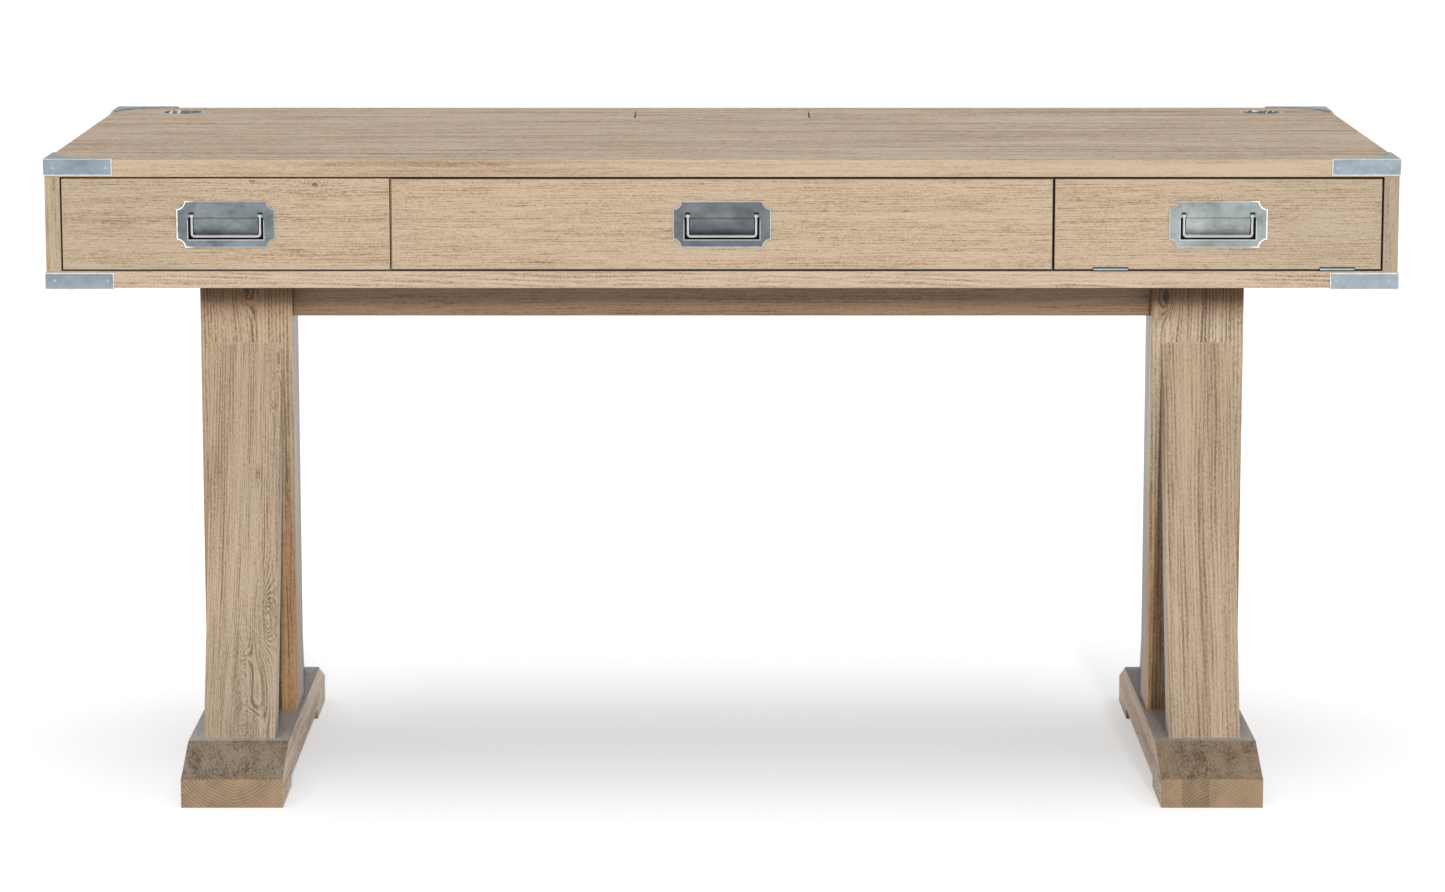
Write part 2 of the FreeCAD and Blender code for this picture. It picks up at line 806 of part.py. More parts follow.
def hinge_case_leaves():
    """Return the leaves on the case, each with its two outer knuckles."""
    leaves = []
    for x in hinge_places():
        x_leaf = around(x, hinge_length)
        x_gap = around(x, hinge_middle_length + hinge_knuckle_gap * 2)
        plate = block(x_leaf, (front_y + arris_radius, hinge_axis_y + hinge_leaf_width),
                      (floor_z - hinge_leaf_thickness, floor_z))
        shapes = [plate]
        for x_span in ((x_leaf[0], x_gap[0]), (x_gap[1], x_leaf[1])):
            shapes.append(knuckle(x_span))
            shapes.append(block(x_span, (front_y + arris_radius, hinge_axis_y + hinge_barrel_radius),
                                (floor_z - hinge_leaf_thickness, hinge_axis_z)))
        leaves.append(joined(shapes).cut(pin_bore(x)))
    return group(leaves)


def hinge_front_leaves():
    """Return the leaves on the drop front, each with its middle knuckle."""
    leaves = []
    for x in hinge_places():
        clear = hinge_barrel_radius + hinge_knuckle_gap
        plate = block(around(x, hinge_length), (hinge_axis_y + clear, hinge_axis_y + hinge_leaf_width),
                      (fronts_bottom_z, fronts_bottom_z + hinge_leaf_thickness))
        neck = block(around(x, hinge_middle_length), (hinge_axis_y, hinge_axis_y + clear),
                     (fronts_bottom_z, fronts_bottom_z + hinge_leaf_thickness))
        shapes = [plate, neck, knuckle(around(x, hinge_middle_length))]
        leaves.append(joined(shapes).cut(pin_bore(x)))
    return group(leaves)


def hinge_pins():
    """Return the hinge pins."""
    pins = []
    for x in hinge_places():
        start = FreeCAD.Vector(x - hinge_length / 2, hinge_axis_y, hinge_axis_z)
        pins.append(rod(hinge_pin_radius, hinge_length, start, X_AXIS))
    return group(pins)


def catch_strike():
    """Return the strike plate inside the drop front."""
    top = fronts_top_z - arris_radius
    return block(around(front_middle("right"), strike_length), (seat_y, seat_y + strike_thickness),
                 (top - strike_height, top))


def catch_magnet():
    """Return the magnetic catch under the top, behind the strike."""
    y_low = seat_y + strike_thickness + catch_gap
    return block(around(front_middle("right"), catch_length), (y_low, y_low + catch_depth),
                 (ceiling_z - catch_height, ceiling_z))


# Cable lid and grommets

def cable_lid():
    """Return the lift-out lid with a cable notch in each end."""
    y_low, y_high = lid_span_y()
    lid = eased(block(around(0, lid_width), (y_low, y_high), (top_z - lid_thickness, top_z)), arris_radius)
    notch_y = around(y_low + lid_notch_offset, lid_notch_width)
    notch_z = (top_z - lid_thickness - overrun, top_z + overrun)
    left = block((-lid_width / 2 - overrun, -lid_width / 2 + lid_notch_length), notch_y, notch_z)
    return lid.cut([left, left.mirror(ORIGIN, X_AXIS)])


def grommet_ring(side):
    """Return the liner of a cable hole with the seat of its cap."""
    centre = grommet_centre(side)
    flange = rod(grommet_flange_radius, grommet_flange_thickness, centre, -Z_AXIS)
    barrel = rod(grommet_barrel_radius, grommet_barrel_length, centre, -Z_AXIS)
    bore = rod(grommet_bore_radius, grommet_barrel_length + overrun * 2, centre + Z_AXIS * overrun, -Z_AXIS)
    seat_top = centre - Z_AXIS * grommet_seat_depth
    seat = rod(grommet_bore_radius + grommet_hole_slack, grommet_seat_thickness, seat_top, -Z_AXIS)
    eye = rod(grommet_seat_radius, grommet_seat_thickness + overrun * 2,
              seat_top + Z_AXIS * overrun, -Z_AXIS)
    return joined([joined([flange, barrel]).cut(bore), seat.cut(eye)])


def grommet_cap(side):
    """Return the swivel cap, which has a cable slot at its front."""
    foot_centre = grommet_centre(side) - Z_AXIS * grommet_seat_depth
    disc = rod(cap_radius, cap_thickness, foot_centre, Z_AXIS)
    rim = [edge for edge in disc.Edges if edge.BoundBox.ZMin > foot_centre.z + cap_thickness / 2]
    disc = disc.makeFillet(cap_rim_radius, rim)
    slot_y = (foot_centre.y - cap_radius - overrun, foot_centre.y - cap_radius + cap_slot_depth)
    slot_z = (foot_centre.z - overrun, foot_centre.z + cap_thickness + overrun)
    return disc.cut(block(around(foot_centre.x, cap_slot_width), slot_y, slot_z))


def build():
    """Return every node of the desk by name."""
    nodes = {
        "top_panel": top_panel(),
        "bottom_panel": bottom_panel(),
        "back_panel": back_panel(),
        "drawer_runners": drawer_runners(),
        "stretcher": stretcher(),
        "post_screws": post_screws(),
        "hinge_case_leaves": hinge_case_leaves(),
        "hinge_front_leaves": hinge_front_leaves(),
        "hinge_pins": hinge_pins(),
        "catch_magnet": catch_magnet(),
        "catch_strike": catch_strike(),
        "drop_front": drop_front(),
        "cable_lid": cable_lid(),
    }
    for name, side in (("left", -1), ("right", 1)):
        nodes[name + "_side_panel"] = side_panel(side)
        nodes[name + "_divider"] = divider(side)
        nodes[name + "_foot"] = foot(side)
        nodes[name + "_post"] = post(side)
        nodes[name + "_front_brace"] = brace(side, -1)
        nodes[name + "_rear_brace"] = brace(side, 1)
        nodes[name + "_grommet_ring"] = grommet_ring(side)
        nodes[name + "_grommet_cap"] = grommet_cap(side)
    for corner, shapes in at_every_corner([bracket_at_corner()]):
        nodes[corner + "_bracket"] = shapes[0]
    pins = [pin for corner, shapes in at_every_corner(pins_at_corner()) for pin in shapes]
    nodes["bracket_pins"] = group(pins)
    for bay in front_edges:
        x_middle = front_middle(bay)
        nodes[bay + "_pull_plate"] = pull_plate(x_middle)
        nodes[bay + "_bail"] = bail(x_middle)
        nodes[bay + "_pull_screws"] = pull_screws(x_middle)
    for bay in ("left", "centre"):
        nodes[bay + "_drawer_front"] = front_panel(bay)
        nodes[bay + "_drawer_left_side"] = drawer_side(bay, -1)
        nodes[bay + "_drawer_right_side"] = drawer_side(bay, 1)
        nodes[bay + "_drawer_back"] = drawer_back(bay)
        nodes[bay + "_drawer_bottom"] = drawer_bottom(bay)
    return nodes


os.makedirs("parts", exist_ok=True)
for node_name, node_shape in build().items():
    node_shape.exportStep("parts/" + node_name + ".step")
    print(node_name, len(node_shape.Solids), round(node_shape.Volume), node_shape.isValid())
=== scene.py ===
"""Dress the desk: limed oak, satin steel, a white floor, soft light and the camera."""

import logging
import math
from dataclasses import dataclass, field, replace
from enum import Enum
from typing import Mapping, Sequence, Union

import bmesh
import bpy
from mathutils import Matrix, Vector


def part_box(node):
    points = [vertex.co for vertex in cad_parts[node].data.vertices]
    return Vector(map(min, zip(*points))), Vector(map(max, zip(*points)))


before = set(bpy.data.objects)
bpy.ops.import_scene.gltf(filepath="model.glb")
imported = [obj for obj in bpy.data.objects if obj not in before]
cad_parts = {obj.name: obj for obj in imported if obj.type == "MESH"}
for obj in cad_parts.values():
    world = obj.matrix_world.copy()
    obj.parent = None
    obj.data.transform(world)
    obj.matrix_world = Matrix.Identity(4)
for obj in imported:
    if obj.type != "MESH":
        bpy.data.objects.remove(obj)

LOG = logging.getLogger("desk")
MM = 0.001

Colour = tuple[float, float, float]
Span = tuple[float, float]
Socket = bpy.types.NodeSocket
Number = Union[float, "Value"]
Paint = Union[Socket, Colour]
WHITE = (1.0, 1.0, 1.0, 1.0)


def times(colour: Colour, by: float) -> Colour:
    """Return a lighter or darker colour."""
    return tuple(part * by for part in colour)


class Value:
    """A number in a material, whose arithmetic adds Math nodes."""

    def __init__(self, graph: "Graph", socket: Socket) -> None:
        """Hold the socket that gives the number.

        Args:
            graph: The material's nodes.
            socket: The output that the number comes from.
        """
        self.graph = graph
        self.socket = socket

    def __add__(self, other: Number) -> "Value":
        """Return the sum."""
        return self.graph.maths("ADD", self, other)

    def __sub__(self, other: Number) -> "Value":
        """Return this number less the other."""
        return self.graph.maths("SUBTRACT", self, other)

    def __rsub__(self, other: Number) -> "Value":
        """Return the other number less this one."""
        return self.graph.maths("SUBTRACT", other, self)

    def __mul__(self, other: Number) -> "Value":
        """Return the product."""
        return self.graph.maths("MULTIPLY", self, other)

    def __truediv__(self, other: Number) -> "Value":
        """Return this number divided by the other."""
        return self.graph.maths("DIVIDE", self, other)

    def __rtruediv__(self, other: Number) -> "Value":
        """Return the other number divided by this one."""
        return self.graph.maths("DIVIDE", other, self)

    def __abs__(self) -> "Value":
        """Return the number without its sign."""
        return self.graph.maths("ABSOLUTE", self)

    __radd__ = __add__
    __rmul__ = __mul__

    def root(self) -> "Value":
        """Return the square root."""
        return self.graph.maths("SQRT", self)

    def fraction(self) -> "Value":
        """Return what is left above the whole number."""
        return self.graph.maths("FRACT", self)

    def least(self, other: Number) -> "Value":
        """Return the smaller of the two numbers."""
        return self.graph.maths("MINIMUM", self, other)

    def most(self, other: Number) -> "Value":
        """Return the larger of the two numbers."""
        return self.graph.maths("MAXIMUM", self, other)

    def rise(self, low: float, high: float) -> "Value":
        """Return a smooth step from 0 at low to 1 at high.

        Args:
            low: The number at which the step starts.
            high: The number at which the step is complete.

        Returns:
            The step, between 0 and 1.
        """
        made = self.graph.node(
            "ShaderNodeMapRange",
            {"interpolation_type": "SMOOTHSTEP"},
            {"Value": self, "From Min": low, "From Max": high},
        )
        return Value(self.graph, made.outputs["Result"])

    def fall(self, low: float, high: float) -> "Value":
        """Return a smooth step from 1 at low to 0 at high."""
        return 1.0 - self.rise(low, high)


class Graph:
    """The nodes of one material, or those of the sky."""

    def __init__(self, owner: Union[bpy.types.Material, bpy.types.World]) -> None:
        """Take over a node tree and empty it.

        Args:
            owner: The material or world that the nodes belong to.
        """
        owner.use_nodes = True
        self.owner = owner
        self.tree = owner.node_tree
        self.tree.nodes.clear()

    @classmethod
    def of_material(cls, name: str) -> "Graph":
        """Return the empty node tree of a new material."""
        return cls(bpy.data.materials.new(name))

    def node(
        self,
        kind: str,
        settings: Mapping[str, object] | None = None,
        values: Mapping[str | int, object] | None = None,
    ) -> bpy.types.Node:
        """Add a node, set its choices, then fill its sockets.

        Args:
            kind: The node's type.
            settings: The node's own choices, with a ramp's colours as "stops".
            values: A number, colour, vector, Value or output for each socket.

        Returns:
            The node.
        """
        made = self.tree.nodes.new(kind)
        for key, choice in (settings or {}).items():
            if key == "stops":
                self._set_stops(made.color_ramp, choice)
            else:
                setattr(made, key, choice)
        for key, given in (values or {}).items():
            socket = self._input(made, key)
            if isinstance(given, Value):
                given = given.socket
            if isinstance(given, Socket):
                self.tree.links.new(given, socket)
            else:
                socket.default_value = given
        return made

    @staticmethod
    def _input(made: bpy.types.Node, key: str | int) -> Socket:
        """Return a node's input by its number, or the one in use by its name."""
        if isinstance(key, int):
            return made.inputs[key]
        return next(s for s in made.inputs if s.name == key and s.enabled)

    @staticmethod
    def _set_stops(
        ramp: bpy.types.ColorRamp, stops: Sequence[tuple[float, Colour]]
    ) -> None:
        """Give a ramp its colours.

        Args:
            ramp: The ramp, which starts with two colours.
            stops: The place and colour of each stop, in order.
        """
        while len(ramp.elements) < len(stops):
            ramp.elements.new(1.0)
        for element, (place, colour) in zip(ramp.elements, stops):
            element.position = place
            element.color = (*colour, 1.0)

    def maths(self, operation: str, *terms: Number) -> Value:
        """Return the result of one Math node.

        Args:
            operation: What the node does.
            *terms: The numbers that it takes, in order.

        Returns:
            The result.
        """
        values = dict(enumerate(terms))
        made = self.node("ShaderNodeMath", {"operation": operation}, values)
        return Value(self, made.outputs[0])

    def stretched(self, place: Socket, by: Paint) -> Socket:
        """Return a vector with its own scale along each axis."""
        made = self.node(
            "ShaderNodeVectorMath", {"operation": "MULTIPLY"}, {0: place, 1: by}
        )
        return made.outputs[0]

    def scaled(self, place: Socket, by: Number) -> Socket:
        """Return a vector at another scale."""
        values = {0: place, "Scale": by}
        return self.node("ShaderNodeVectorMath", {"operation": "SCALE"}, values).outputs[0]

    def split(self, place: Socket) -> tuple[Value, Value, Value]:
        """Return the three numbers of a vector."""
        made = self.node("ShaderNodeSeparateXYZ", None, {0: place})
        return tuple(Value(self, output) for output in made.outputs)

    def joined(self, *parts: Number) -> Socket:
        """Return the vector of three numbers."""
        return self.node("ShaderNodeCombineXYZ", None, dict(enumerate(parts))).outputs[0]

    def ramp(self, number: Value, stops: Sequence[tuple[float, Colour]]) -> Socket:
        """Return the colour that a ramp gives for the number."""
        return self.node("ShaderNodeValToRGB", {"stops": stops}, {0: number}).outputs[0]

    def blend(
        self, share: Number, first: Paint, second: Paint, kind: str = "MIX"
    ) -> Socket:
        """Return a mix of two colours.

        Args:
            share: How much of the second colour is in the mix.
            first: The colour at a share of 0.
            second: The colour at a share of 1.
            kind: The way in which the colours are mixed.

        Returns:
            The mixed colour.
        """
        first, second = (
            (*paint, 1.0) if isinstance(paint, tuple) else paint
            for paint in (first, second)
        )
        made = self.node(
            "ShaderNodeMix",
            {"data_type": "RGBA", "blend_type": kind},
            {"Factor": share, "A": first, "B": second},
        )
        return next(s for s in made.outputs if s.enabled)

    def place(self) -> tuple[Socket, Socket]:
        """Return where on the desk the surface is, in millimetres, and its normal."""
        found = self.node("ShaderNodeTexCoord")
        return self.scaled(found.outputs["Object"], 1 / MM), found.outputs["Normal"]

    def surface(
        self,
        colour: Socket,
        roughness: Number,
        height: Value,
        relief: float,
        constants: Mapping[str, object] | None = None,
    ) -> bpy.types.Material:
        """Close the material with a shader.

        Args:
            colour: The base colour.
            roughness: The roughness, from 0 to 1.
            height: The relief's shape, from 0 to 1.
            relief: The relief's depth in millimetres.
            constants: What is the same all over, set on the shader itself.

        Returns:
            The material.
        """
        shape = {"Strength": 1.0, "Distance": relief * MM, "Height": height}
        bump = self.node("ShaderNodeBump", None, shape)
        shader = self.node(
            "ShaderNodeBsdfPrincipled",
            None,
            {
                "Base Color": colour,
                "Roughness": roughness,
                "Normal": bump.outputs[0],
                **(constants or {}),
            },
        )
        self.node("ShaderNodeOutputMaterial", None, {"Surface": shader.outputs[0]})
        return self.owner


@dataclass(frozen=True)
class Layer:
    """One layer of noise in a finish, with its cells per millimetre along each axis."""

    cells: tuple[float, float, float]
    detail: float = 2.0
    roughness: float = 0.5

    def clouds(self, graph: Graph, place: Socket) -> bpy.types.Node:
        """Add the layer's noise to a material.

        Args:
            graph: The material's nodes.
            place: The coordinates, in millimetres.

        Returns:
            The noise node.
        """
        return graph.node(
            "ShaderNodeTexNoise",
            {"noise_dimensions": "3D"},
            {
                "Vector": graph.stretched(place, self.cells),
                "Scale": 1.0,
                "Detail": self.detail,
                "Roughness": self.roughness,
            },
        )

    def on(self, graph: Graph, place: Socket) -> Value:
        """Return the layer as one number about 0, mostly within 0.3 of it."""
        return Value(graph, self.clouds(graph, place).outputs[0]) - 0.5


class Lay(Enum):
    """How a board lies: the axes along its grain, across its face and through it."""

    FLAT_SIDEWAYS = (0, 1, 2)
    ON_EDGE_SIDEWAYS = (0, 2, 1)
    STANDING_FRONT = (2, 0, 1)
    STANDING_SIDE = (2, 1, 0)
    FLAT_LENGTHWAYS = (1, 0, 2)
    ON_EDGE_LENGTHWAYS = (1, 2, 0)


@dataclass(frozen=True)
class Extent:
    """The box of a piece, in metres."""

    low: Vector
    high: Vector

    @classmethod
    def of(cls, node: str) -> "Extent":
        """Return the box of a node of the frame."""
        return cls(*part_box(node))

    @property
    def centre(self) -> Vector:
        """The box's middle."""
        return (self.low + self.high) / 2

    @property
    def half(self) -> Vector:
        """Half the box's size along each axis."""
        return (self.high - self.low) / 2

    def depths(self, graph: Graph, spot: Socket) -> list[Value]:
        """Return how deep a spot lies inside the box.

        Args:
            graph: The material's nodes.
            spot: The place on the desk, in millimetres.

        Returns:
            The distance to the nearer side along each axis, in millimetres.
        """
        return [
            half / MM - abs(place - middle / MM)
            for place, middle, half in zip(graph.split(spot), self.centre, self.half)
        ]


def edge_distance(depths: Sequence[Value]) -> Value:
    """Return the distance from a spot on a box to the box's nearest edge.

    Args:
        depths: The spot's distances to the box's sides.

    Returns:
        The second smallest of the distances.
    """
    low, high = depths[0].least(depths[1]), depths[0].most(depths[1])
    return low.most(high.least(depths[2]))


@dataclass(frozen=True)
class Knot:
    """A knot that goes through a board, placed in the desk's own millimetres.

    The grain swells round it. One without a core is only a swirl in the grain.
    """

    along: float
    across: float
    swirl: float
    core: float = 0.0
    darkness: float = 0.9
    slimness: float = 0.5
    bulge: float = 1.6


@dataclass(frozen=True)
class PaintedShade:
    """A painted shade that comes in along a board, from one height or length to another."""

    start: float
    end: float
    tint: Colour


@dataclass(frozen=True)
class OakTones:
    """The colours of one kind of board, from its palest wood to its pores."""

    pale: Colour
    body: Colour
    ring: Colour
    pore: Colour
    end: Colour
    knot: Colour = (0.060, 0.046, 0.042)

    def tinted(self, red: float, green: float, blue: float) -> "OakTones":
        """Return the same wood under a thin tint.

        Args:
            red: The share of red that the tint lets through.
            green: The share of green.
            blue: The share of blue.

        Returns:
            The tinted colours.
        """
        tint = (red, green, blue)
        return OakTones(*(
            tuple(part * share for part, share in zip(tone, tint))
            for tone in (self.pale, self.body, self.ring, self.pore, self.end, self.knot)
        ))


@dataclass(frozen=True)
class Cut:
    """What the saw laid bare at a spot on a board, as numbers of its material.

    The place along the grain is far in the desk's millimetres and along from the
    board's middle. The ring is its early wood, and the line is how dark that is.
    The chance is a number about 0 that is the stave's own.
    """

    far: Value
    along: Value
    own: Socket
    radius: Value
    turn: Value
    ring: Value
    line: Value
    core: Number
    chance: Number


@dataclass(frozen=True)
class Marks:
    """The small marks at a spot on a board, and how strongly fibres and flecks show."""

    pores: Value
    fibre: Value
    speck: Value
    mottle: Value
    streak: Value
    strength: Number


# The noises of oak. The first axis runs along the grain.
PORES = Layer((0.05, 0.75, 0.75), 2.0, 0.6)
FIBRE = Layer((0.012, 0.44, 0.44), 4.0, 0.88)
SPECK = Layer((0.42, 0.60, 0.60), 2.0, 0.8)
MOTTLE = Layer((0.10, 0.24, 0.24), 3.0, 0.75)
STREAK = Layer((0.0028, 0.055, 0.055), 3.0, 0.55)
BAND = Layer((0.07, 0.07, 1.0))
DRIFT = Layer((0.0023, 0.011, 0.011))
WAVER = Layer((0.011, 0.09, 0.09), 1.0)
RING_CHANGE = Layer((0.004, 0.12, 0.12), 1.0)
KNOT_RIM = Layer((0.35, 0.35, 1.0), 3.0)
END_DOTS = Layer((0.2, 0.9, 0.9), 2.0, 0.6)
END_RAYS = Layer((1.0, 1.0, 1.0), 1.0)
END_BLOTCH = Layer((0.02, 0.05, 0.05), 3.0, 0.6)
WEAR = Layer((0.05, 0.05, 0.05), 3.0)

# How far one board's coordinates lie from the next one's, along and across.
SEED_STEP = (731.0, 97.0)

# How squarely a surface looks through the board or along its grain, as steps.
ON_FACE = (0.5, 0.9)
ON_EDGE = (0.2, 0.6)
ON_END = (0.22, 0.75)
ON_LEVEL = (0.955, 0.995)

# Parts of a ring at which its early wood starts and ends.
EARLY_WOOD = (0.0, 0.16)
LATE_WOOD = (0.25, 0.85)

# The noise from which pores show, on the face and on the ends.
PORE_STEP = (0.03, 0.15)
DOT_STEP = (0.03, 0.16)

# The fibres' strength on narrow edges, and how much finer flecks get on a face.
EDGE_FIBRE = 0.65
FLECK_FINENESS = 0.6

# How dark the face is without marks, and how much each mark adds. Pores add less
# between the rings.
FACE_DEPTH = 0.24
RING_DEPTH = 0.62
PORE_DEPTH = 0.24
PORES_BETWEEN = 0.5
PORES_IN_RING = 0.8
FIBRE_DEPTH = 2.4
SPECK_DEPTH = 1.7
MOTTLE_DEPTH = 0.5
BAND_DEPTH = 0.8
STAVE_DEPTH = 0.3

# The same for the ends.
END_DEPTH = 0.56
DOT_DEPTH = 0.10
RAY_DEPTH = 0.30
BLOTCH_DEPTH = 0.8
END_STAVE_DEPTH = 0.35

# How dark early wood is, how much that changes, and the swell that counts as a knot.
EARLY_DARKNESS = 0.55
RING_VARIETY = 1.8
KNOT_SWELL = (1.5, 12.0)

# How grey a level surface is, and how much soft spots and fibres change it.
GREY, GREY_MOTTLE, GREY_FIBRE = 0.62, 1.6, 1.5

# The relief and the roughness without marks, and how much each mark counts.
HEIGHT, RING_HEIGHT, PORE_HEIGHT, FIBRE_HEIGHT = 0.7, 0.35, 0.5, 0.6
DULLNESS, PORE_DULLNESS, STREAK_DULLNESS, END_DULLNESS = 0.52, 0.12, 0.15, 0.12

# Where on the way from palest wood to pores, or from pale to dark end grain, the
# colours lie.
FACE_STOPS = (0.10, 0.42, 0.72, 1.0)
END_STOPS = ((0.1, 1.5), (0.5, 1.0), (1.0, 0.45))

# How much slower bands and rays change along their second direction, and how many
# rays fill a turn about the heart.
SLOWLY = 0.02
RAYS_PER_RADIAN = 90.0

# How far a knot bends the grain, how ragged its core is, and where that fades.
KNOT_BEND, KNOT_RAG, KNOT_FADE = 0.5, 1.6, 0.3

# How far the rings drift for each millimetre of wander, and how far they waver.
DRIFT_ACROSS, DRIFT_THROUGH, WAVER_WIDTH = 3.0, 4.0, 3.0

# How wide and how ragged worn edges are, and the shares of a width at which what
# lies along an edge starts and ends its fade.
WORN_WIDTH, WORN_RAGGED = 2.2, 4.0
FADE_START, FADE_END = 0.1, 1.2

OAK_RELIEF = 0.12
OAK_GLOSS = {"IOR": 1.42, "Specular IOR Level": 0.42}
COAT_ROUGHNESS = 0.3


@dataclass(frozen=True)
class Oak:
    """Limed oak, cut from a trunk whose heart lies beside or under the board.

    The lengths are in millimetres. The rings are shells about the heart, so each
    face of the board shows them as a saw would: lines along it, arches where they
    run out of it, and arcs on its end. The heart is given across and through the
    board from its middle, and leans through it for each length along it. Fineness
    and grain length size the marks, 1 being usual. A board glued from staves has
    their width and the place of one joint. Level grey is the grey of level surfaces.
    """

    tones: OakTones
    lay: Lay
    heart: Span = (-140.0, -30.0)
    lean: float = 0.0
    ring: float = 3.2
    ring_strength: float = 0.5
    fibre_strength: float = 1.0
    streak_strength: float = 0.5
    mottle_strength: float = 1.0
    fineness: float = 1.0
    grain_length: float = 1.0
    wander: float = 3.0
    seed: float = 0.0
    knots: tuple[Knot, ...] = ()
    knot_rings: float = 0.5
    painted_shades: tuple[PaintedShade, ...] = ()
    stave: float = 0.0
    joint: float = 0.0
    end_rings: float = 0.42
    worn_edge: float = 0.35
    edge_tint: Colour | None = None
    rim: float = 1.1
    rim_tint: Colour | None = None
    level_grey: Colour | None = None
    coat: float = 0.0

    def material(self, name: str, extent: Extent) -> bpy.types.Material:
        """Return the finish for one board.

        Args:
            name: The material's name.
            extent: The board's box.

        Returns:
            The material.
        """
        graph = Graph.of_material(name)
        spot, normal = graph.place()
        turned = graph.split(normal)
        ends = abs(turned[self.lay.value[0]]).rise(*ON_END)
        facing = abs(turned[self.lay.value[2]])
        cut = self._cut(graph, spot, extent)
        marks = self._marks(graph, cut, facing)
        side = self._side_colour(graph, cut, marks)
        colour = graph.blend(ends, side, self._end_colour(graph, cut))
        colour = graph.blend(cut.core, colour, self.tones.knot)
        edge = edge_distance(extent.depths(graph, spot))
        ragged = edge + WEAR.on(graph, spot) * WORN_RAGGED
        worn = self._near(ragged, WORN_WIDTH) * (1.0 - cut.core)
        colour = graph.blend(worn * self.worn_edge, colour, self.tones.pale)
        colour, coat = self._with_painted_shade(graph, cut, colour)
        if self.level_grey:
            grey = GREY + marks.mottle * GREY_MOTTLE + marks.fibre * GREY_FIBRE
            colour = graph.blend(facing.rise(*ON_LEVEL) * grey, colour, self.level_grey)
        # Narrow faces and front rims take tints: painted shade in the gaps round the
        # fronts, painted light on the left front's edges and on the sides of the feet and
        # front braces, and a warmer front edge on the top.
        if self.edge_tint:
            narrow = facing.fall(*ON_EDGE) * (1.0 if self.rim_tint else 1.0 - ends)
            colour = graph.blend(narrow, colour, self.edge_tint, "MULTIPLY")
        if self.rim_tint:
            rim = self._near(edge, self.rim)
            colour = graph.blend(rim, colour, self.rim_tint, "MULTIPLY")
        height = (
            HEIGHT
            - cut.line * RING_HEIGHT
            - marks.pores * PORE_HEIGHT
            + marks.fibre * FIBRE_HEIGHT
        )
        roughness = (
            DULLNESS
            + marks.pores * PORE_DULLNESS
            + marks.streak * STREAK_DULLNESS
            + ends * END_DULLNESS
        )
        constants = dict(OAK_GLOSS)
        if self.coat:
            constants |= {"Coat Weight": coat, "Coat Roughness": COAT_ROUGHNESS}
        return graph.surface(colour, roughness, height, OAK_RELIEF, constants)

    @staticmethod
    def _near(distance: Value, width: float) -> Value:
        """Return 1 on an edge and 0 a little more than the width away from it."""
        return distance.fall(width * FADE_START, width * FADE_END)

    def _cut(self, graph: Graph, spot: Socket, extent: Extent) -> Cut:
        """Work out which part of the trunk a spot on the board comes from.

        Args:
            graph: The material's nodes.
            spot: The place on the desk, in millimetres.
            extent: The board's box.

        Returns:
            The wood at the spot.
        """
        parts = graph.split(spot)
        far, wide, deep = (parts[axis] for axis in self.lay.value)
        middle = [extent.centre[axis] / MM for axis in self.lay.value]
        bent, swell, core = self._past_knots(graph, far, wide)
        along, across = far - middle[0], bent - middle[1]
        through = deep - middle[2] + along * self.lean
        own = graph.joined(
            along + self.seed * SEED_STEP[0], across + self.seed * SEED_STEP[1], through
        )
        across, chance = self._staves(graph, wide, across)
        radius, turn = self._from_heart(graph, own, across, through)
        radius = radius + swell
        phase = (radius / self.ring).fraction()
        ring = phase.rise(*EARLY_WOOD) * phase.fall(*LATE_WOOD)
        strength = EARLY_DARKNESS + RING_CHANGE.on(graph, own) * RING_VARIETY
        if self.knots:
            strength = strength + swell.rise(*KNOT_SWELL) * self.knot_rings
        return Cut(far, along, own, radius, turn, ring, ring * strength, core, chance)

    def _past_knots(
        self, graph: Graph, along: Value, across: Value
    ) -> tuple[Value, Number, Number]:
        """Bend the grain round each knot.

        Args:
            graph: The material's nodes.
            along: The place along the grain.
            across: The place across the face.

        Returns:
            The bent place across the face, how far the rings swell there, and how
            much of the spot is a knot's core.
        """
        bent, swell, core = across, 0.0, 0.0
        for knot in self.knots:
            run = (along - knot.along) * (knot.slimness / knot.swirl)
            rise = (across - knot.across) / knot.swirl
            apart = run * run + rise * rise
            near = 1.0 / (1.0 + apart)
            bent = bent - rise * near * (knot.swirl * KNOT_BEND)
            swell = near * near * (knot.swirl * knot.bulge) + swell
            if knot.core:
                limit = knot.core / knot.swirl
                rag = KNOT_RIM.on(graph, graph.joined(along, across, knot.along))
                ragged = apart.root() + rag * (KNOT_RAG * limit)
                inside = ragged.fall(limit * KNOT_FADE, limit) * knot.darkness
                core = inside.most(core)
        return bent, swell, core

    def _staves(self, graph: Graph, wide: Value, across: Value) -> tuple[Value, Number]:
        """Turn over the grain of every other stave of a board glued from several.

        Args:
            graph: The material's nodes.
            wide: The place across the face, in the desk's millimetres.
            across: The place across the face, from the board's middle.

        Returns:
            The place across the stave, and a number about 0 that is the stave's own.
        """
        if not self.stave:
            return across, 0.0
        place = (wide - self.joint) / self.stave
        drawn = graph.node(
            "ShaderNodeTexWhiteNoise",
            {"noise_dimensions": "1D"},
            {"W": graph.maths("FLOOR", place) + self.seed},
        )
        chance = Value(graph, drawn.outputs["Value"]) - 0.5
        return graph.maths("PINGPONG", place, 1.0) * self.stave, chance

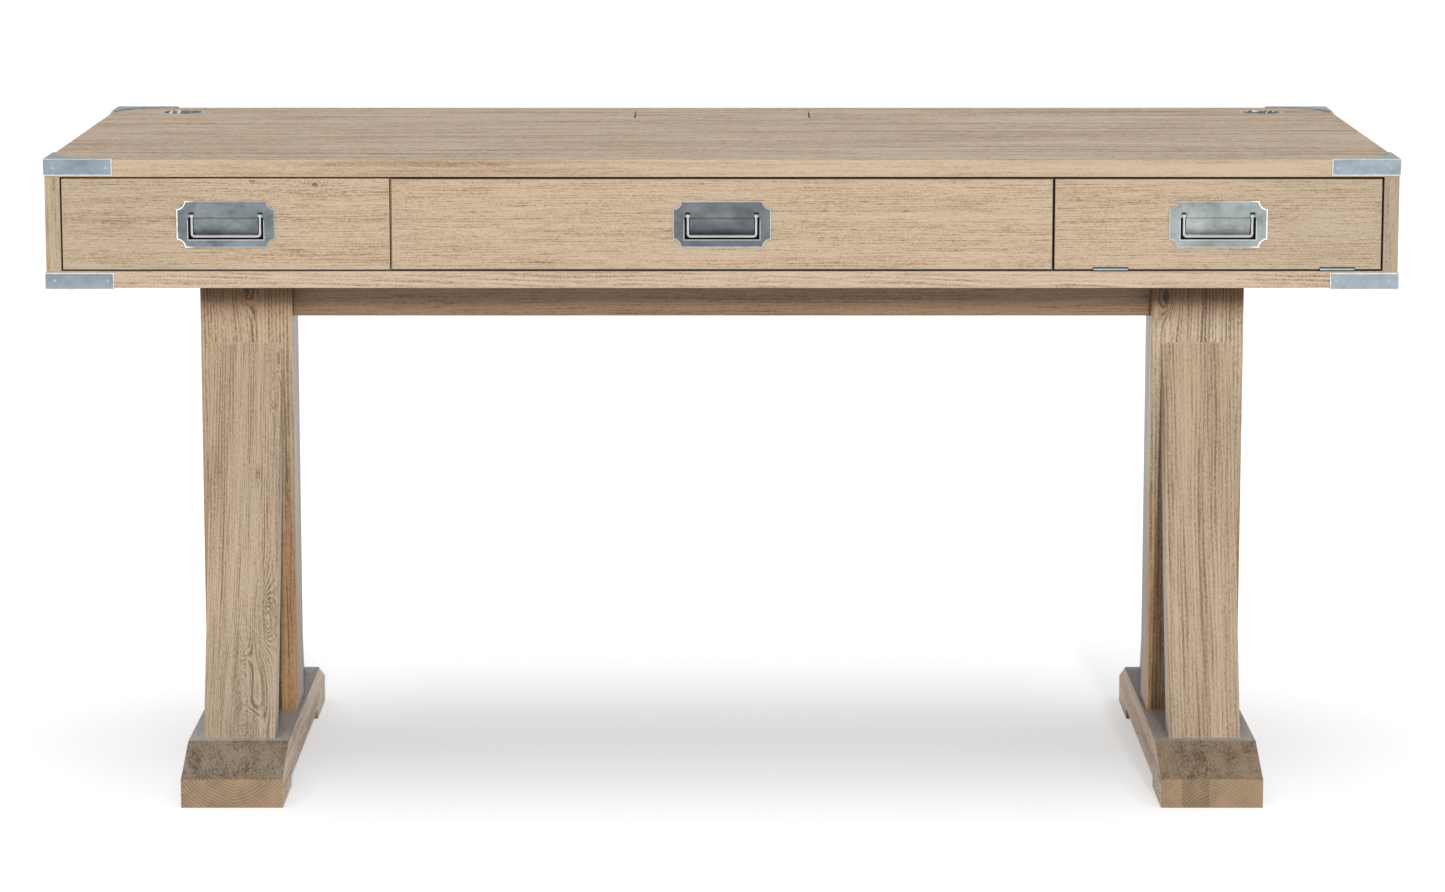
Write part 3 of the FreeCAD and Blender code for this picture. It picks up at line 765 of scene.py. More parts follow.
    def _from_heart(
        self, graph: Graph, own: Socket, across: Value, through: Value
    ) -> tuple[Value, Value]:
        """Return the distance and the angle from the trunk's heart.

        Args:
            graph: The material's nodes.
            own: The board's own coordinates.
            across: The place across the face, from the board's middle.
            through: The place through the board, from its middle.

        Returns:
            The distance in millimetres and the angle in radians.
        """
        drift = graph.split(DRIFT.clouds(graph, own).outputs["Color"])
        side = across + (drift[0] - 0.5) * (self.wander * DRIFT_ACROSS) - self.heart[0]
        under = through + (drift[1] - 0.5) * (self.wander * DRIFT_THROUGH) - self.heart[1]
        distance = (side * side + under * under).root()
        waver = WAVER.on(graph, own) * WAVER_WIDTH
        return distance + waver, graph.maths("ARCTAN2", under, side)

    def _marks(self, graph: Graph, cut: Cut, facing: Value) -> Marks:
        """Draw the small marks, which may be finer on the face than on the edges.

        Args:
            graph: The material's nodes.
            cut: The wood at the spot.
            facing: How squarely the surface looks through the board.

        Returns:
            The marks.
        """
        grained = graph.stretched(cut.own, graph.joined(1.0 / self.grain_length, 1.0, 1.0))
        flecked, strength = grained, self.fibre_strength
        if self.fineness != 1.0:
            face, finer = facing.rise(*ON_FACE), 1.0 - self.fineness
            flecked = graph.scaled(grained, 1.0 - face * (FLECK_FINENESS * finer))
            grained = graph.scaled(grained, 1.0 - face * finer)
            strength = EDGE_FIBRE + face * (self.fibre_strength - EDGE_FIBRE)
        return Marks(
            pores=PORES.on(graph, grained).rise(*PORE_STEP),
            fibre=FIBRE.on(graph, grained),
            speck=SPECK.on(graph, flecked),
            mottle=MOTTLE.on(graph, grained),
            streak=STREAK.on(graph, cut.own),
            strength=strength,
        )

    def _side_colour(self, graph: Graph, cut: Cut, marks: Marks) -> Socket:
        """Return the colour along the grain, from the palest wood to the pores.

        Args:
            graph: The material's nodes.
            cut: The wood at the spot.
            marks: The small marks at the spot.

        Returns:
            The colour.
        """
        band = BAND.on(graph, graph.joined(cut.radius, cut.along * SLOWLY, 0.0))
        depth = (
            FACE_DEPTH
            + cut.line * (RING_DEPTH * self.ring_strength)
            + marks.pores * PORE_DEPTH * (PORES_BETWEEN + cut.line * PORES_IN_RING)
            + marks.fibre * marks.strength * FIBRE_DEPTH
            + marks.speck * marks.strength * SPECK_DEPTH
            + marks.mottle * (MOTTLE_DEPTH * self.mottle_strength)
            + marks.streak * self.streak_strength
            + band * (BAND_DEPTH * self.streak_strength)
            + cut.chance * STAVE_DEPTH
        )
        tones = (self.tones.pale, self.tones.body, self.tones.ring, self.tones.pore)
        return graph.ramp(depth, tuple(zip(FACE_STOPS, tones)))

    def _end_colour(self, graph: Graph, cut: Cut) -> Socket:
        """Return the colour of cut ends, with arcs, rays and round pores.

        Args:
            graph: The material's nodes.
            cut: The wood at the spot.

        Returns:
            The colour.
        """
        dots = END_DOTS.on(graph, cut.own).rise(*DOT_STEP)
        fan = graph.joined(cut.turn * RAYS_PER_RADIAN, cut.radius * SLOWLY, 0.0)
        depth = (
            END_DEPTH
            - cut.ring * self.end_rings
            + dots * DOT_DEPTH
            + END_RAYS.on(graph, fan) * RAY_DEPTH
            + END_BLOTCH.on(graph, cut.own) * BLOTCH_DEPTH
            + cut.chance * END_STAVE_DEPTH
        )
        stops = tuple((place, times(self.tones.end, by)) for place, by in END_STOPS)
        return graph.ramp(depth, stops)

    def _with_painted_shade(self, graph: Graph, cut: Cut, colour: Socket) -> tuple[Socket, Number]:
        """Lay the painted shades over a colour, and thin the clear coat where they are
        dark.

        Args:
            graph: The material's nodes.
            cut: The wood at the spot.
            colour: The colour without shades.

        Returns:
            The shaded colour and the coat's weight.
        """
        coat: Number = self.coat
        for shade in self.painted_shades:
            dim = cut.far.rise(shade.start, shade.end)
            colour = graph.blend(dim, colour, shade.tint, "MULTIPLY")
            if self.coat:
                coat = (1.0 - dim * (1.0 - shade.tint[1])) * coat
        return colour, coat


# The tints of a pull's recess, which are painted shade and painted light, and how deep
# behind the plate's face each comes in.
CHANNEL_SHADE, CHANNEL_SHADE_DEPTH = (0.04, 0.04, 0.04), (1.2, 2.6)
SCOOP_LIGHT, SCOOP_LIGHT_DEPTH = (1.9, 1.9, 1.9), (3.0, 7.0)
SCOOP_DEPTH = (0.6, 1.2)
LIP, LIP_DEPTH = (0.85, 0.86, 0.84), (0.5, 1.2)
BROW = (0.25, 0.25, 0.25)

# How strongly the painted dark brow and the painted bright lip show, and where they end.
BROW_STRENGTH, BROW_STEP = 0.6, (0.3, 1.0)
LIP_STRENGTH, LIP_START, LIP_END, LIP_TOP = 0.55, (0.0, 0.3), (0.6, 1.1), (8.0, 12.0)
CHANNEL_TOP = 1.6


@dataclass(frozen=True)
class Recess:
    """Where a pull's plate is pressed in behind the bail, in millimetres.

    The scoop in its middle is painted lighter where it runs deep, and the channels
    beside and under the scoop, and the slots for the bail's eyes, are painted black
    as shade. A painted dark brow runs under the top edge and a painted bright lip
    round its sides and foot. The recess lies lower than the plate's middle by the drop.
    """

    drop: float = 5.3
    half_width: float = 44.5
    half_height: float = 12.75
    scoop_half_width: float = 38.0
    scoop_foot: float = 2.6
    scoop_light_and_shade: Colour = (1.0, 1.0, 1.0)

    def dress(self, graph: Graph, colour: Socket, spot: Socket, extent: Extent) -> Socket:
        """Return the plate's colour with its recess.

        Args:
            graph: The material's nodes.
            colour: The plate's colour without the recess.
            spot: The place on the desk, in millimetres.
            extent: The plate's box.

        Returns:
            The colour.
        """
        x, y, z = graph.split(spot)
        aside = abs(x - extent.centre.x / MM)
        height = z - (extent.centre.z / MM - self.drop)
        depth = y - extent.low.y / MM
        outside = aside.rise(self.scoop_half_width - 0.2, self.scoop_half_width + 0.3)
        foot = -self.half_height
        under = height.fall(foot + CHANNEL_TOP, foot + self.scoop_foot)
        # The channels are painted black as shade, and the deep scoop painted lighter.
        channel = depth.rise(*CHANNEL_SHADE_DEPTH) * outside.most(under)
        colour = graph.blend(channel, colour, CHANNEL_SHADE, "MULTIPLY")
        scoop = depth.rise(*SCOOP_DEPTH) * (1.0 - channel) * (1.0 - outside)
        colour = graph.blend(scoop, colour, self.scoop_light_and_shade, "MULTIPLY")
        colour = graph.blend(depth.rise(*SCOOP_LIGHT_DEPTH) * scoop, colour, SCOOP_LIGHT, "MULTIPLY")
        # A painted dark brow under the top edge, and a painted bright lip round the recess.
        brow = abs(height - self.half_height).fall(*BROW_STEP)
        brow = brow * aside.fall(self.scoop_half_width - 0.5, self.scoop_half_width)
        colour = graph.blend(brow * BROW_STRENGTH, colour, BROW, "MULTIPLY")
        apart = (aside - self.half_width).most(abs(height) - self.half_height)
        lip = apart.rise(*LIP_START) * apart.fall(*LIP_END) * depth.fall(*LIP_DEPTH)
        return graph.blend(lip * height.fall(*LIP_TOP) * LIP_STRENGTH, colour, LIP)


# The noises of steel, which is brushed sideways.
BRUSH = Layer((0.05, 2.2, 2.2), 3.0, 0.7)
STEEL_GRAIN = Layer((0.5, 0.5, 0.5), 2.0, 0.7)
STAIN = Layer((0.16, 0.16, 0.16), 3.0, 0.6)
GLINT = Layer((0.15, 0.03, 0.30), 1.0)
EDGE_RAG = Layer((0.12, 0.12, 0.12))
CLOUD_FLATNESS = 1.4

STAIN_STEP = (0.12, 0.24)
GLINT_STEP = (0.03, 0.08)
GLINT_SLOPE = (0.3, 0.8)
RIDGE_STEP = (0.6, 1.2)
GLINT_COLOUR = (0.97, 0.97, 0.93)
EDGE_HIGHLIGHT = (0.95, 0.96, 0.97)
PAINTED_BARREL_SHADE = (0.10, 0.11, 0.11)
STEEL_RELIEF = 0.02

# How pale steel is without its layers, and how much each layer changes that.
PALENESS, BRUSH_SHADE, CLOUD_SHADE = 0.55, 0.55, 1.6
GRAIN_SHADE, STAIN_SHADE = 0.5, 0.22
CLOUD_DULLNESS, STAIN_DULLNESS, EDGE_GLOSS = 0.25, 0.14, 0.10

# The painted edge highlights' strength away from the lit side, the share of their
# width that is bright, and where across the piece the highlight rises.
UNLIT = 0.25
BRIGHT_END = 0.4
LIT_START, LIT_END = 0.6, 0.85


@dataclass(frozen=True)
class SatinSteel:
    """Brushed steel with a cloudy patina and painted highlights on its edges.

    The lengths are in millimetres. The lit side, -1 for left and 1 for right, has the
    brightest painted edge highlights. The notch is the radius of scooped corners. The
    ridge is the height on the desk of a hinge barrel's bright middle, with painted shade
    on the metal above and below it.
    """

    pale: Colour
    dark: Colour
    roughness: float = 0.34
    cloud: float = 1.0
    cloud_size: float = 28.0
    metallic: float = 0.55
    edge_highlight: float = 0.6
    edge_width: float = 0.9
    lit_side: float = 0.0
    notch: float = 0.0
    glints: float = 0.0
    recess: Recess | None = None
    ridge: float | None = None

    def material(self, name: str, extent: Extent) -> bpy.types.Material:
        """Return the finish for one piece of metal.

        Args:
            name: The material's name.
            extent: The piece's box, whose edges are rubbed bright.

        Returns:
            The material.
        """
        graph = Graph.of_material(name)
        spot, normal = graph.place()
        size = 1.0 / self.cloud_size
        brush = BRUSH.on(graph, spot)
        cloud = Layer((size, size, size * CLOUD_FLATNESS), 4.0, 0.6).on(graph, spot)
        grain = STEEL_GRAIN.on(graph, spot)
        stain = STAIN.on(graph, spot).rise(*STAIN_STEP)
        share = (
            PALENESS
            + brush * BRUSH_SHADE
            + cloud * (CLOUD_SHADE * self.cloud)
            + grain * GRAIN_SHADE
            - stain * STAIN_SHADE
        )
        colour = graph.ramp(share, ((0.0, self.dark), (1.0, self.pale)))
        if self.recess:
            colour = self.recess.dress(graph, colour, spot, extent)
        if self.glints:
            steep = abs(graph.split(normal)[2]).fall(*GLINT_SLOPE)
            glint = GLINT.on(graph, spot).rise(*GLINT_STEP) * steep
            colour = graph.blend(glint * self.glints, colour, GLINT_COLOUR)
        # Painted shade on the hinge barrel above and below its bright middle.
        if self.ridge:
            away = abs(graph.split(spot)[2] - self.ridge).rise(*RIDGE_STEP)
            colour = graph.blend(away, colour, PAINTED_BARREL_SHADE, "MULTIPLY")
        # Painted highlights on the outer edges.
        edge = self._edge(graph, spot, extent)
        colour = graph.blend(edge * self.edge_highlight, colour, EDGE_HIGHLIGHT)
        roughness = (
            self.roughness
            + cloud * CLOUD_DULLNESS
            + stain * STAIN_DULLNESS
            - edge * EDGE_GLOSS
        )
        constants = {"Metallic": self.metallic}
        return graph.surface(colour, roughness, 0.5 + brush, STEEL_RELIEF, constants)

    def _edge(self, graph: Graph, spot: Socket, extent: Extent) -> Value:
        """Return 1 on the piece's outer edges, where highlights are painted, broken up a
        little.

        Args:
            graph: The material's nodes.
            spot: The place on the desk, in millimetres.
            extent: The piece's box.

        Returns:
            How near the edge the spot is.
        """
        depths = extent.depths(graph, spot)
        edge = edge_distance(depths)
        if self.notch:
            corner = (depths[0] * depths[0] + depths[2] * depths[2]).root()
            edge = edge.least(corner - self.notch)
        ragged = edge + EDGE_RAG.on(graph, spot) * self.edge_width
        highlit = ragged.fall(self.edge_width * BRIGHT_END, self.edge_width * FADE_END)
        if self.lit_side:
            aside = (graph.split(spot)[0] - extent.centre.x / MM) * self.lit_side
            half = extent.half.x / MM
            highlit = highlit * (UNLIT + aside.rise(half * LIT_START, half * LIT_END))
        return highlit


MOULDED = Layer((3.0, 3.0, 3.0))
SMEAR = Layer((0.15, 0.15, 0.15))


@dataclass(frozen=True)
class DullPlastic:
    """Moulded plastic with a fine grain."""

    colour: Colour

    def material(self, name: str, extent: Extent) -> bpy.types.Material:
        """Return the finish, which is the same wherever the piece stands.

        Args:
            name: The material's name.
            extent: The piece's box, which this finish doesn't use.

        Returns:
            The material.
        """
        graph = Graph.of_material(name)
        spot, _ = graph.place()
        grain, smear = MOULDED.on(graph, spot), SMEAR.on(graph, spot)
        stops = ((0.0, times(self.colour, 0.7)), (1.0, times(self.colour, 1.5)))
        colour = graph.ramp(0.5 + grain * 0.4 + smear, stops)
        return graph.surface(colour, 0.55 + smear * 0.3, 0.5 + grain, 0.05)


Finish = Union[Oak, SatinSteel, DullPlastic]

TOP_TONES = OakTones(
    pale=(0.345, 0.273, 0.202),
    body=(0.280, 0.211, 0.143),
    ring=(0.215, 0.153, 0.100),
    pore=(0.117, 0.078, 0.049),
    end=(0.246, 0.174, 0.105),
)
FRONT_TONES = OakTones(
    pale=(0.325, 0.252, 0.179),
    body=(0.275, 0.206, 0.138),
    ring=(0.219, 0.151, 0.094),
    pore=(0.107, 0.068, 0.043),
    end=(0.230, 0.157, 0.097),
)
STAND_TONES = OakTones(
    pale=(0.334, 0.268, 0.189),
    body=(0.267, 0.206, 0.136),
    ring=(0.184, 0.132, 0.084),
    pore=(0.095, 0.063, 0.042),
    end=(0.223, 0.151, 0.093),
    knot=(0.030, 0.021, 0.016),
)
SHADED_TONES = OakTones(
    pale=(0.308, 0.221, 0.148),
    body=(0.246, 0.170, 0.106),
    ring=(0.170, 0.108, 0.066),
    pore=(0.087, 0.052, 0.033),
    end=(0.206, 0.124, 0.073),
)
FOOT_TONES = OakTones(
    pale=(0.197, 0.163, 0.121),
    body=(0.157, 0.125, 0.087),
    ring=(0.108, 0.080, 0.054),
    pore=(0.056, 0.038, 0.027),
    end=(0.150, 0.101, 0.060),
)
RAIL_TONES = OakTones(
    pale=(0.340, 0.272, 0.200),
    body=(0.288, 0.222, 0.155),
    ring=(0.221, 0.159, 0.102),
    pore=(0.108, 0.071, 0.047),
    end=(0.232, 0.164, 0.105),
)
INNER_TONES = OakTones(
    pale=(0.350, 0.269, 0.178),
    body=(0.280, 0.206, 0.126),
    ring=(0.210, 0.147, 0.087),
    pore=(0.112, 0.073, 0.045),
    end=(0.238, 0.161, 0.098),
)

BRACE_LEAN = 0.352
# Painted shadow of the case on the tops of the posts.
CASE_SHADOW_ON_POST = PaintedShade(552.0, 602.0, (0.42, 0.26, 0.115))
CASE_SHADOW_ON_RIGHT_POST = PaintedShade(545.0, 600.0, (0.35, 0.21, 0.095))
# Painted shade on the front braces, darker towards their toes to offset the floor's light.
TOE_SHADE = PaintedShade(330.0, 90.0, (0.84, 0.83, 0.85))
# Painted warm shade on the lower part of each post, behind its brace.
BRACE_SHADE_ON_POST = PaintedShade(480.0, 180.0, (0.80, 0.64, 0.48))
# Painted shade in the gaps round the fronts, on their rims and narrow faces, and painted
# light on the left front's edges that thins its gap lines.
PAINTED_GAP_SHADE = (0.12, 0.11, 0.10)
PAINTED_GAP_SIDE_SHADE = (0.36, 0.32, 0.28)
PAINTED_GAP_LIGHT = (1.4, 1.4, 1.4)

# The finishes that several boards share, before each gets its own heart and seed.
TOP_BOARD = Oak(
    TOP_TONES, Lay.FLAT_SIDEWAYS, ring=14.0, fibre_strength=1.75, streak_strength=1.2,
    fineness=0.28, grain_length=1.6, wander=5.0, end_rings=0.12,
)
FRONT_BOARD = Oak(
    FRONT_TONES, Lay.ON_EDGE_SIDEWAYS, ring=3.0, ring_strength=0.55, wander=2.5
)
GAP_SHADED_FRONT = replace(FRONT_BOARD, edge_tint=PAINTED_GAP_SIDE_SHADE, rim_tint=PAINTED_GAP_SHADE)
# The feet's narrow sides are painted lighter, as light from the floor.
FOOT = Oak(
    FOOT_TONES, Lay.FLAT_LENGTHWAYS, ring=3.6, ring_strength=0.45, fibre_strength=2.2,
    mottle_strength=1.4, streak_strength=2.4, edge_tint=(2.6, 2.3, 2.1), coat=0.2,
)
POST = Oak(
    STAND_TONES, Lay.STANDING_FRONT, ring=4.6, ring_strength=1.1, wander=5.0,
    grain_length=1.8, streak_strength=1.0, coat=0.5,
)
# The front braces' sides are painted lighter as highlights.
FRONT_BRACE = Oak(
    STAND_TONES, Lay.STANDING_FRONT, lean=-BRACE_LEAN, mottle_strength=0.6,
    grain_length=1.8, streak_strength=1.0, wander=9.0, painted_shades=(TOE_SHADE,),
    edge_tint=(1.30, 1.30, 1.38), coat=0.5,
)
REAR_BRACE = Oak(STAND_TONES, Lay.STANDING_FRONT, lean=BRACE_LEAN, ring=4.2, coat=0.5)
SCREW_STEEL = SatinSteel((0.60, 0.61, 0.62), (0.34, 0.35, 0.36), edge_highlight=0.0)


@dataclass
class Assembly:
    """A group of pieces that are dressed together."""

    name: str

    def dress(self, node: str, finish: Finish) -> None:
        """Give a node of the frame its own finish.

        Args:
            node: The node's name.
            finish: The finish that it gets.
        """
        material = finish.material(node + "_finish", Extent.of(node))
        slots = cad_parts[node].data.materials
        if slots:
            for index in range(len(slots)):
                slots[index] = material
        else:
            slots.append(material)
        LOG.info("%s: %s dressed in %s", self.name, node, type(finish).__name__)


@dataclass
class Case(Assembly):
    """The flat box under the top, with its top, sides and inner boards."""

    name: str = "case"
    top: Oak = replace(
        TOP_BOARD, heart=(-560.0, -70.0), seed=1.3, edge_tint=(0.94, 0.91, 0.85),
        knots=(
            Knot(-515.5, -352.0, 2.0, 1.6, 0.9, 0.8),
            Knot(50.0, -340.0, 4.0, 2.0, 0.6, 0.35),
            Knot(380.0, -342.0, 3.0, 1.6, 0.5, 0.35),
        ),
    )
    bottom: Oak = Oak(
        RAIL_TONES, Lay.FLAT_SIDEWAYS, heart=(-470.0, -90.0), ring=3.6, ring_strength=0.7,
        seed=2.7, lean=0.02, wander=7.0, end_rings=0.15,
    )
    left_side: Oak = Oak(
        FRONT_TONES.tinted(0.92, 0.94, 0.95), Lay.STANDING_SIDE, heart=(-500.0, -60.0),
        ring=4.0, seed=3.9,
    )
    right_side: Oak = Oak(
        FRONT_TONES.tinted(0.79, 0.80, 0.80), Lay.STANDING_SIDE, heart=(-480.0, -50.0),
        ring=4.0, seed=3.1,
    )
    back: Oak = Oak(
        INNER_TONES, Lay.ON_EDGE_SIDEWAYS, heart=(-90.0, -60.0), ring=3.8, seed=5.1,
    )
    divider: Oak = Oak(
        INNER_TONES, Lay.ON_EDGE_LENGTHWAYS, heart=(-90.0, -60.0), ring=3.8, seed=6.3,
    )
    runner: Oak = Oak(
        INNER_TONES, Lay.ON_EDGE_LENGTHWAYS, heart=(-60.0, -20.0), seed=7.7, worn_edge=0.0,
    )

    def build(self) -> None:
        """Dress every board of the case."""
        self.dress("top_panel", self.top)
        self.dress("bottom_panel", self.bottom)
        self.dress("left_side_panel", self.left_side)
        self.dress("right_side_panel", self.right_side)
        self.dress("back_panel", self.back)
        for node in ("left_divider", "right_divider"):
            self.dress(node, self.divider)
        self.dress("drawer_runners", self.runner)


@dataclass
class Drawer(Assembly):
    """A drawer: its front board and the box behind it."""

    front: Oak = FRONT_BOARD
    box_side: Oak = Oak(
        INNER_TONES, Lay.ON_EDGE_LENGTHWAYS, heart=(-80.0, -30.0), ring=3.4, seed=8.2,
    )
    box_back: Oak = Oak(
        INNER_TONES, Lay.ON_EDGE_SIDEWAYS, heart=(-80.0, -30.0), ring=3.4, seed=9.6,
    )
    box_floor: Oak = Oak(
        INNER_TONES, Lay.FLAT_LENGTHWAYS, heart=(-260.0, -60.0), ring=4.2, seed=10.4,
        worn_edge=0.0,
    )

    def build(self) -> None:
        """Dress the front and the four boards of the box."""
        self.dress(self.name + "_front", self.front)
        for side in ("_left_side", "_right_side"):
            self.dress(self.name + side, self.box_side)
        self.dress(self.name + "_back", self.box_back)
        self.dress(self.name + "_bottom", self.box_floor)


@dataclass
class DropFront(Assembly):
    """The hinged front of the right bay, with its hinges and catch."""

    name: str = "drop_front"
    front: Oak = replace(
        GAP_SHADED_FRONT, heart=(-150.0, -40.0), seed=14.8,
        knots=(Knot(590.5, 746.0, 2.0, 1.6, 0.9, 1.3),),
        # Painted shade towards the desk's right end.
        painted_shades=(PaintedShade(560.0, 700.0, (0.91, 0.93, 0.94)),),
    )
    hinge: SatinSteel = SatinSteel(
        (0.46, 0.51, 0.51), (0.22, 0.25, 0.245), edge_highlight=0.0, ridge=664.5
    )
    strike: SatinSteel = SatinSteel((0.62, 0.63, 0.64), (0.36, 0.37, 0.38), edge_highlight=0.3)
    magnet: DullPlastic = DullPlastic((0.10, 0.09, 0.08))

    def build(self) -> None:
        """Dress the front, the hinges and the catch."""
        self.dress("drop_front", self.front)
        for node in ("hinge_case_leaves", "hinge_front_leaves", "hinge_pins"):
            self.dress(node, self.hinge)
        self.dress("catch_strike", self.strike)
        self.dress("catch_magnet", self.magnet)


@dataclass
class Pedestal(Assembly):
    """One leg of the stand: foot, post and two braces."""

    foot: Oak = FOOT
    post: Oak = POST
    front_brace: Oak = FRONT_BRACE
    rear_brace: Oak = REAR_BRACE

    def build(self) -> None:
        """Dress the four pieces of the leg."""
        self.dress(self.name + "_foot", self.foot)
        self.dress(self.name + "_post", self.post)
        self.dress(self.name + "_front_brace", self.front_brace)
        self.dress(self.name + "_rear_brace", self.rear_brace)


@dataclass
class Stand(Assembly):
    """What joins the two legs and holds them to the case."""

    name: str = "stand"
    # The rail's tones, tint and shade are painted shadow from the case above it.
    rail: Oak = Oak(
        SHADED_TONES.tinted(0.64, 0.55, 0.47), Lay.ON_EDGE_SIDEWAYS, heart=(-110.0, -50.0),
        ring=3.6, seed=21.4, coat=0.3, knots=(Knot(-399.0, 580.0, 9.0, bulge=2.0),),
        painted_shades=(PaintedShade(567.0, 587.0, (0.56, 0.34, 0.18)),),
    )
    screw: SatinSteel = replace(SCREW_STEEL, edge_highlight=0.2)

    def build(self) -> None:
        """Dress the rail and the screws."""
        self.dress("stretcher", self.rail)
        self.dress("post_screws", self.screw)


@dataclass
class CornerBrackets(Assembly):
    """The eight three-legged corner plates and their pins."""

    name: str = "corner_brackets"
    plate: SatinSteel = SatinSteel(
        (0.252, 0.305, 0.345), (0.142, 0.178, 0.206), roughness=0.38, cloud=1.3,
        edge_width=1.0,
    )
    # The right plates are the same steel painted lighter, as lit.
    lit_right_plate: SatinSteel = replace(
        plate, pale=(0.310, 0.360, 0.394), dark=(0.181, 0.217, 0.236)
    )
    pin: SatinSteel = SatinSteel(
        (0.50, 0.55, 0.58), (0.28, 0.31, 0.33), cloud=0.3, edge_highlight=0.0
    )

    def build(self) -> None:
        """Dress every plate and the pins."""
        for level in ("top", "bottom"):
            for end in ("front", "rear"):
                for side in ("left", "right"):
                    plate = self.plate if side == "left" else self.lit_right_plate
                    self.dress(f"{level}_{end}_{side}_bracket", plate)
        self.dress("bracket_pins", self.pin)


@dataclass
class Pull(Assembly):
    """One flush pull: plate, hanging bail and screws."""

    plate: SatinSteel = SatinSteel(
        (0.190, 0.218, 0.228), (0.070, 0.084, 0.090), cloud=1.6, edge_highlight=0.95,
        edge_width=1.2, lit_side=-1.0, notch=9.5, recess=Recess(),
    )
    bail: SatinSteel = SatinSteel(
        (0.58, 0.58, 0.57), (0.30, 0.31, 0.31), roughness=0.22, cloud=0.4, edge_highlight=0.0
    )
    screw: SatinSteel = SCREW_STEEL

    def build(self) -> None:
        """Dress the plate, the bail and the screws."""
        self.dress(self.name + "_pull_plate", self.plate)
        self.dress(self.name + "_bail", self.bail)
        self.dress(self.name + "_pull_screws", self.screw)


@dataclass
class CableWays(Assembly):
    """What cables pass through: two capped rings and the lid between them."""

    name: str = "cable_ways"
    ring: SatinSteel = SatinSteel(
        (0.26, 0.30, 0.28), (0.09, 0.12, 0.11), roughness=0.26, cloud=1.6, cloud_size=11.0,
        edge_highlight=0.0, glints=0.9,
    )
    cap: SatinSteel = SatinSteel(
        (0.36, 0.38, 0.34), (0.10, 0.12, 0.11), roughness=0.22, cloud=1.4, cloud_size=11.0,
        metallic=1.0, edge_highlight=0.0, glints=0.9,
    )
    lid: Oak = replace(TOP_BOARD, heart=(-760.0, -70.0), seed=4.4, worn_edge=0.2)

    def build(self) -> None:
        """Dress both rings, both caps and the lid."""
        for side in ("left", "right"):
            self.dress(side + "_grommet_ring", self.ring)
            self.dress(side + "_grommet_cap", self.cap)
        self.dress("cable_lid", self.lid)


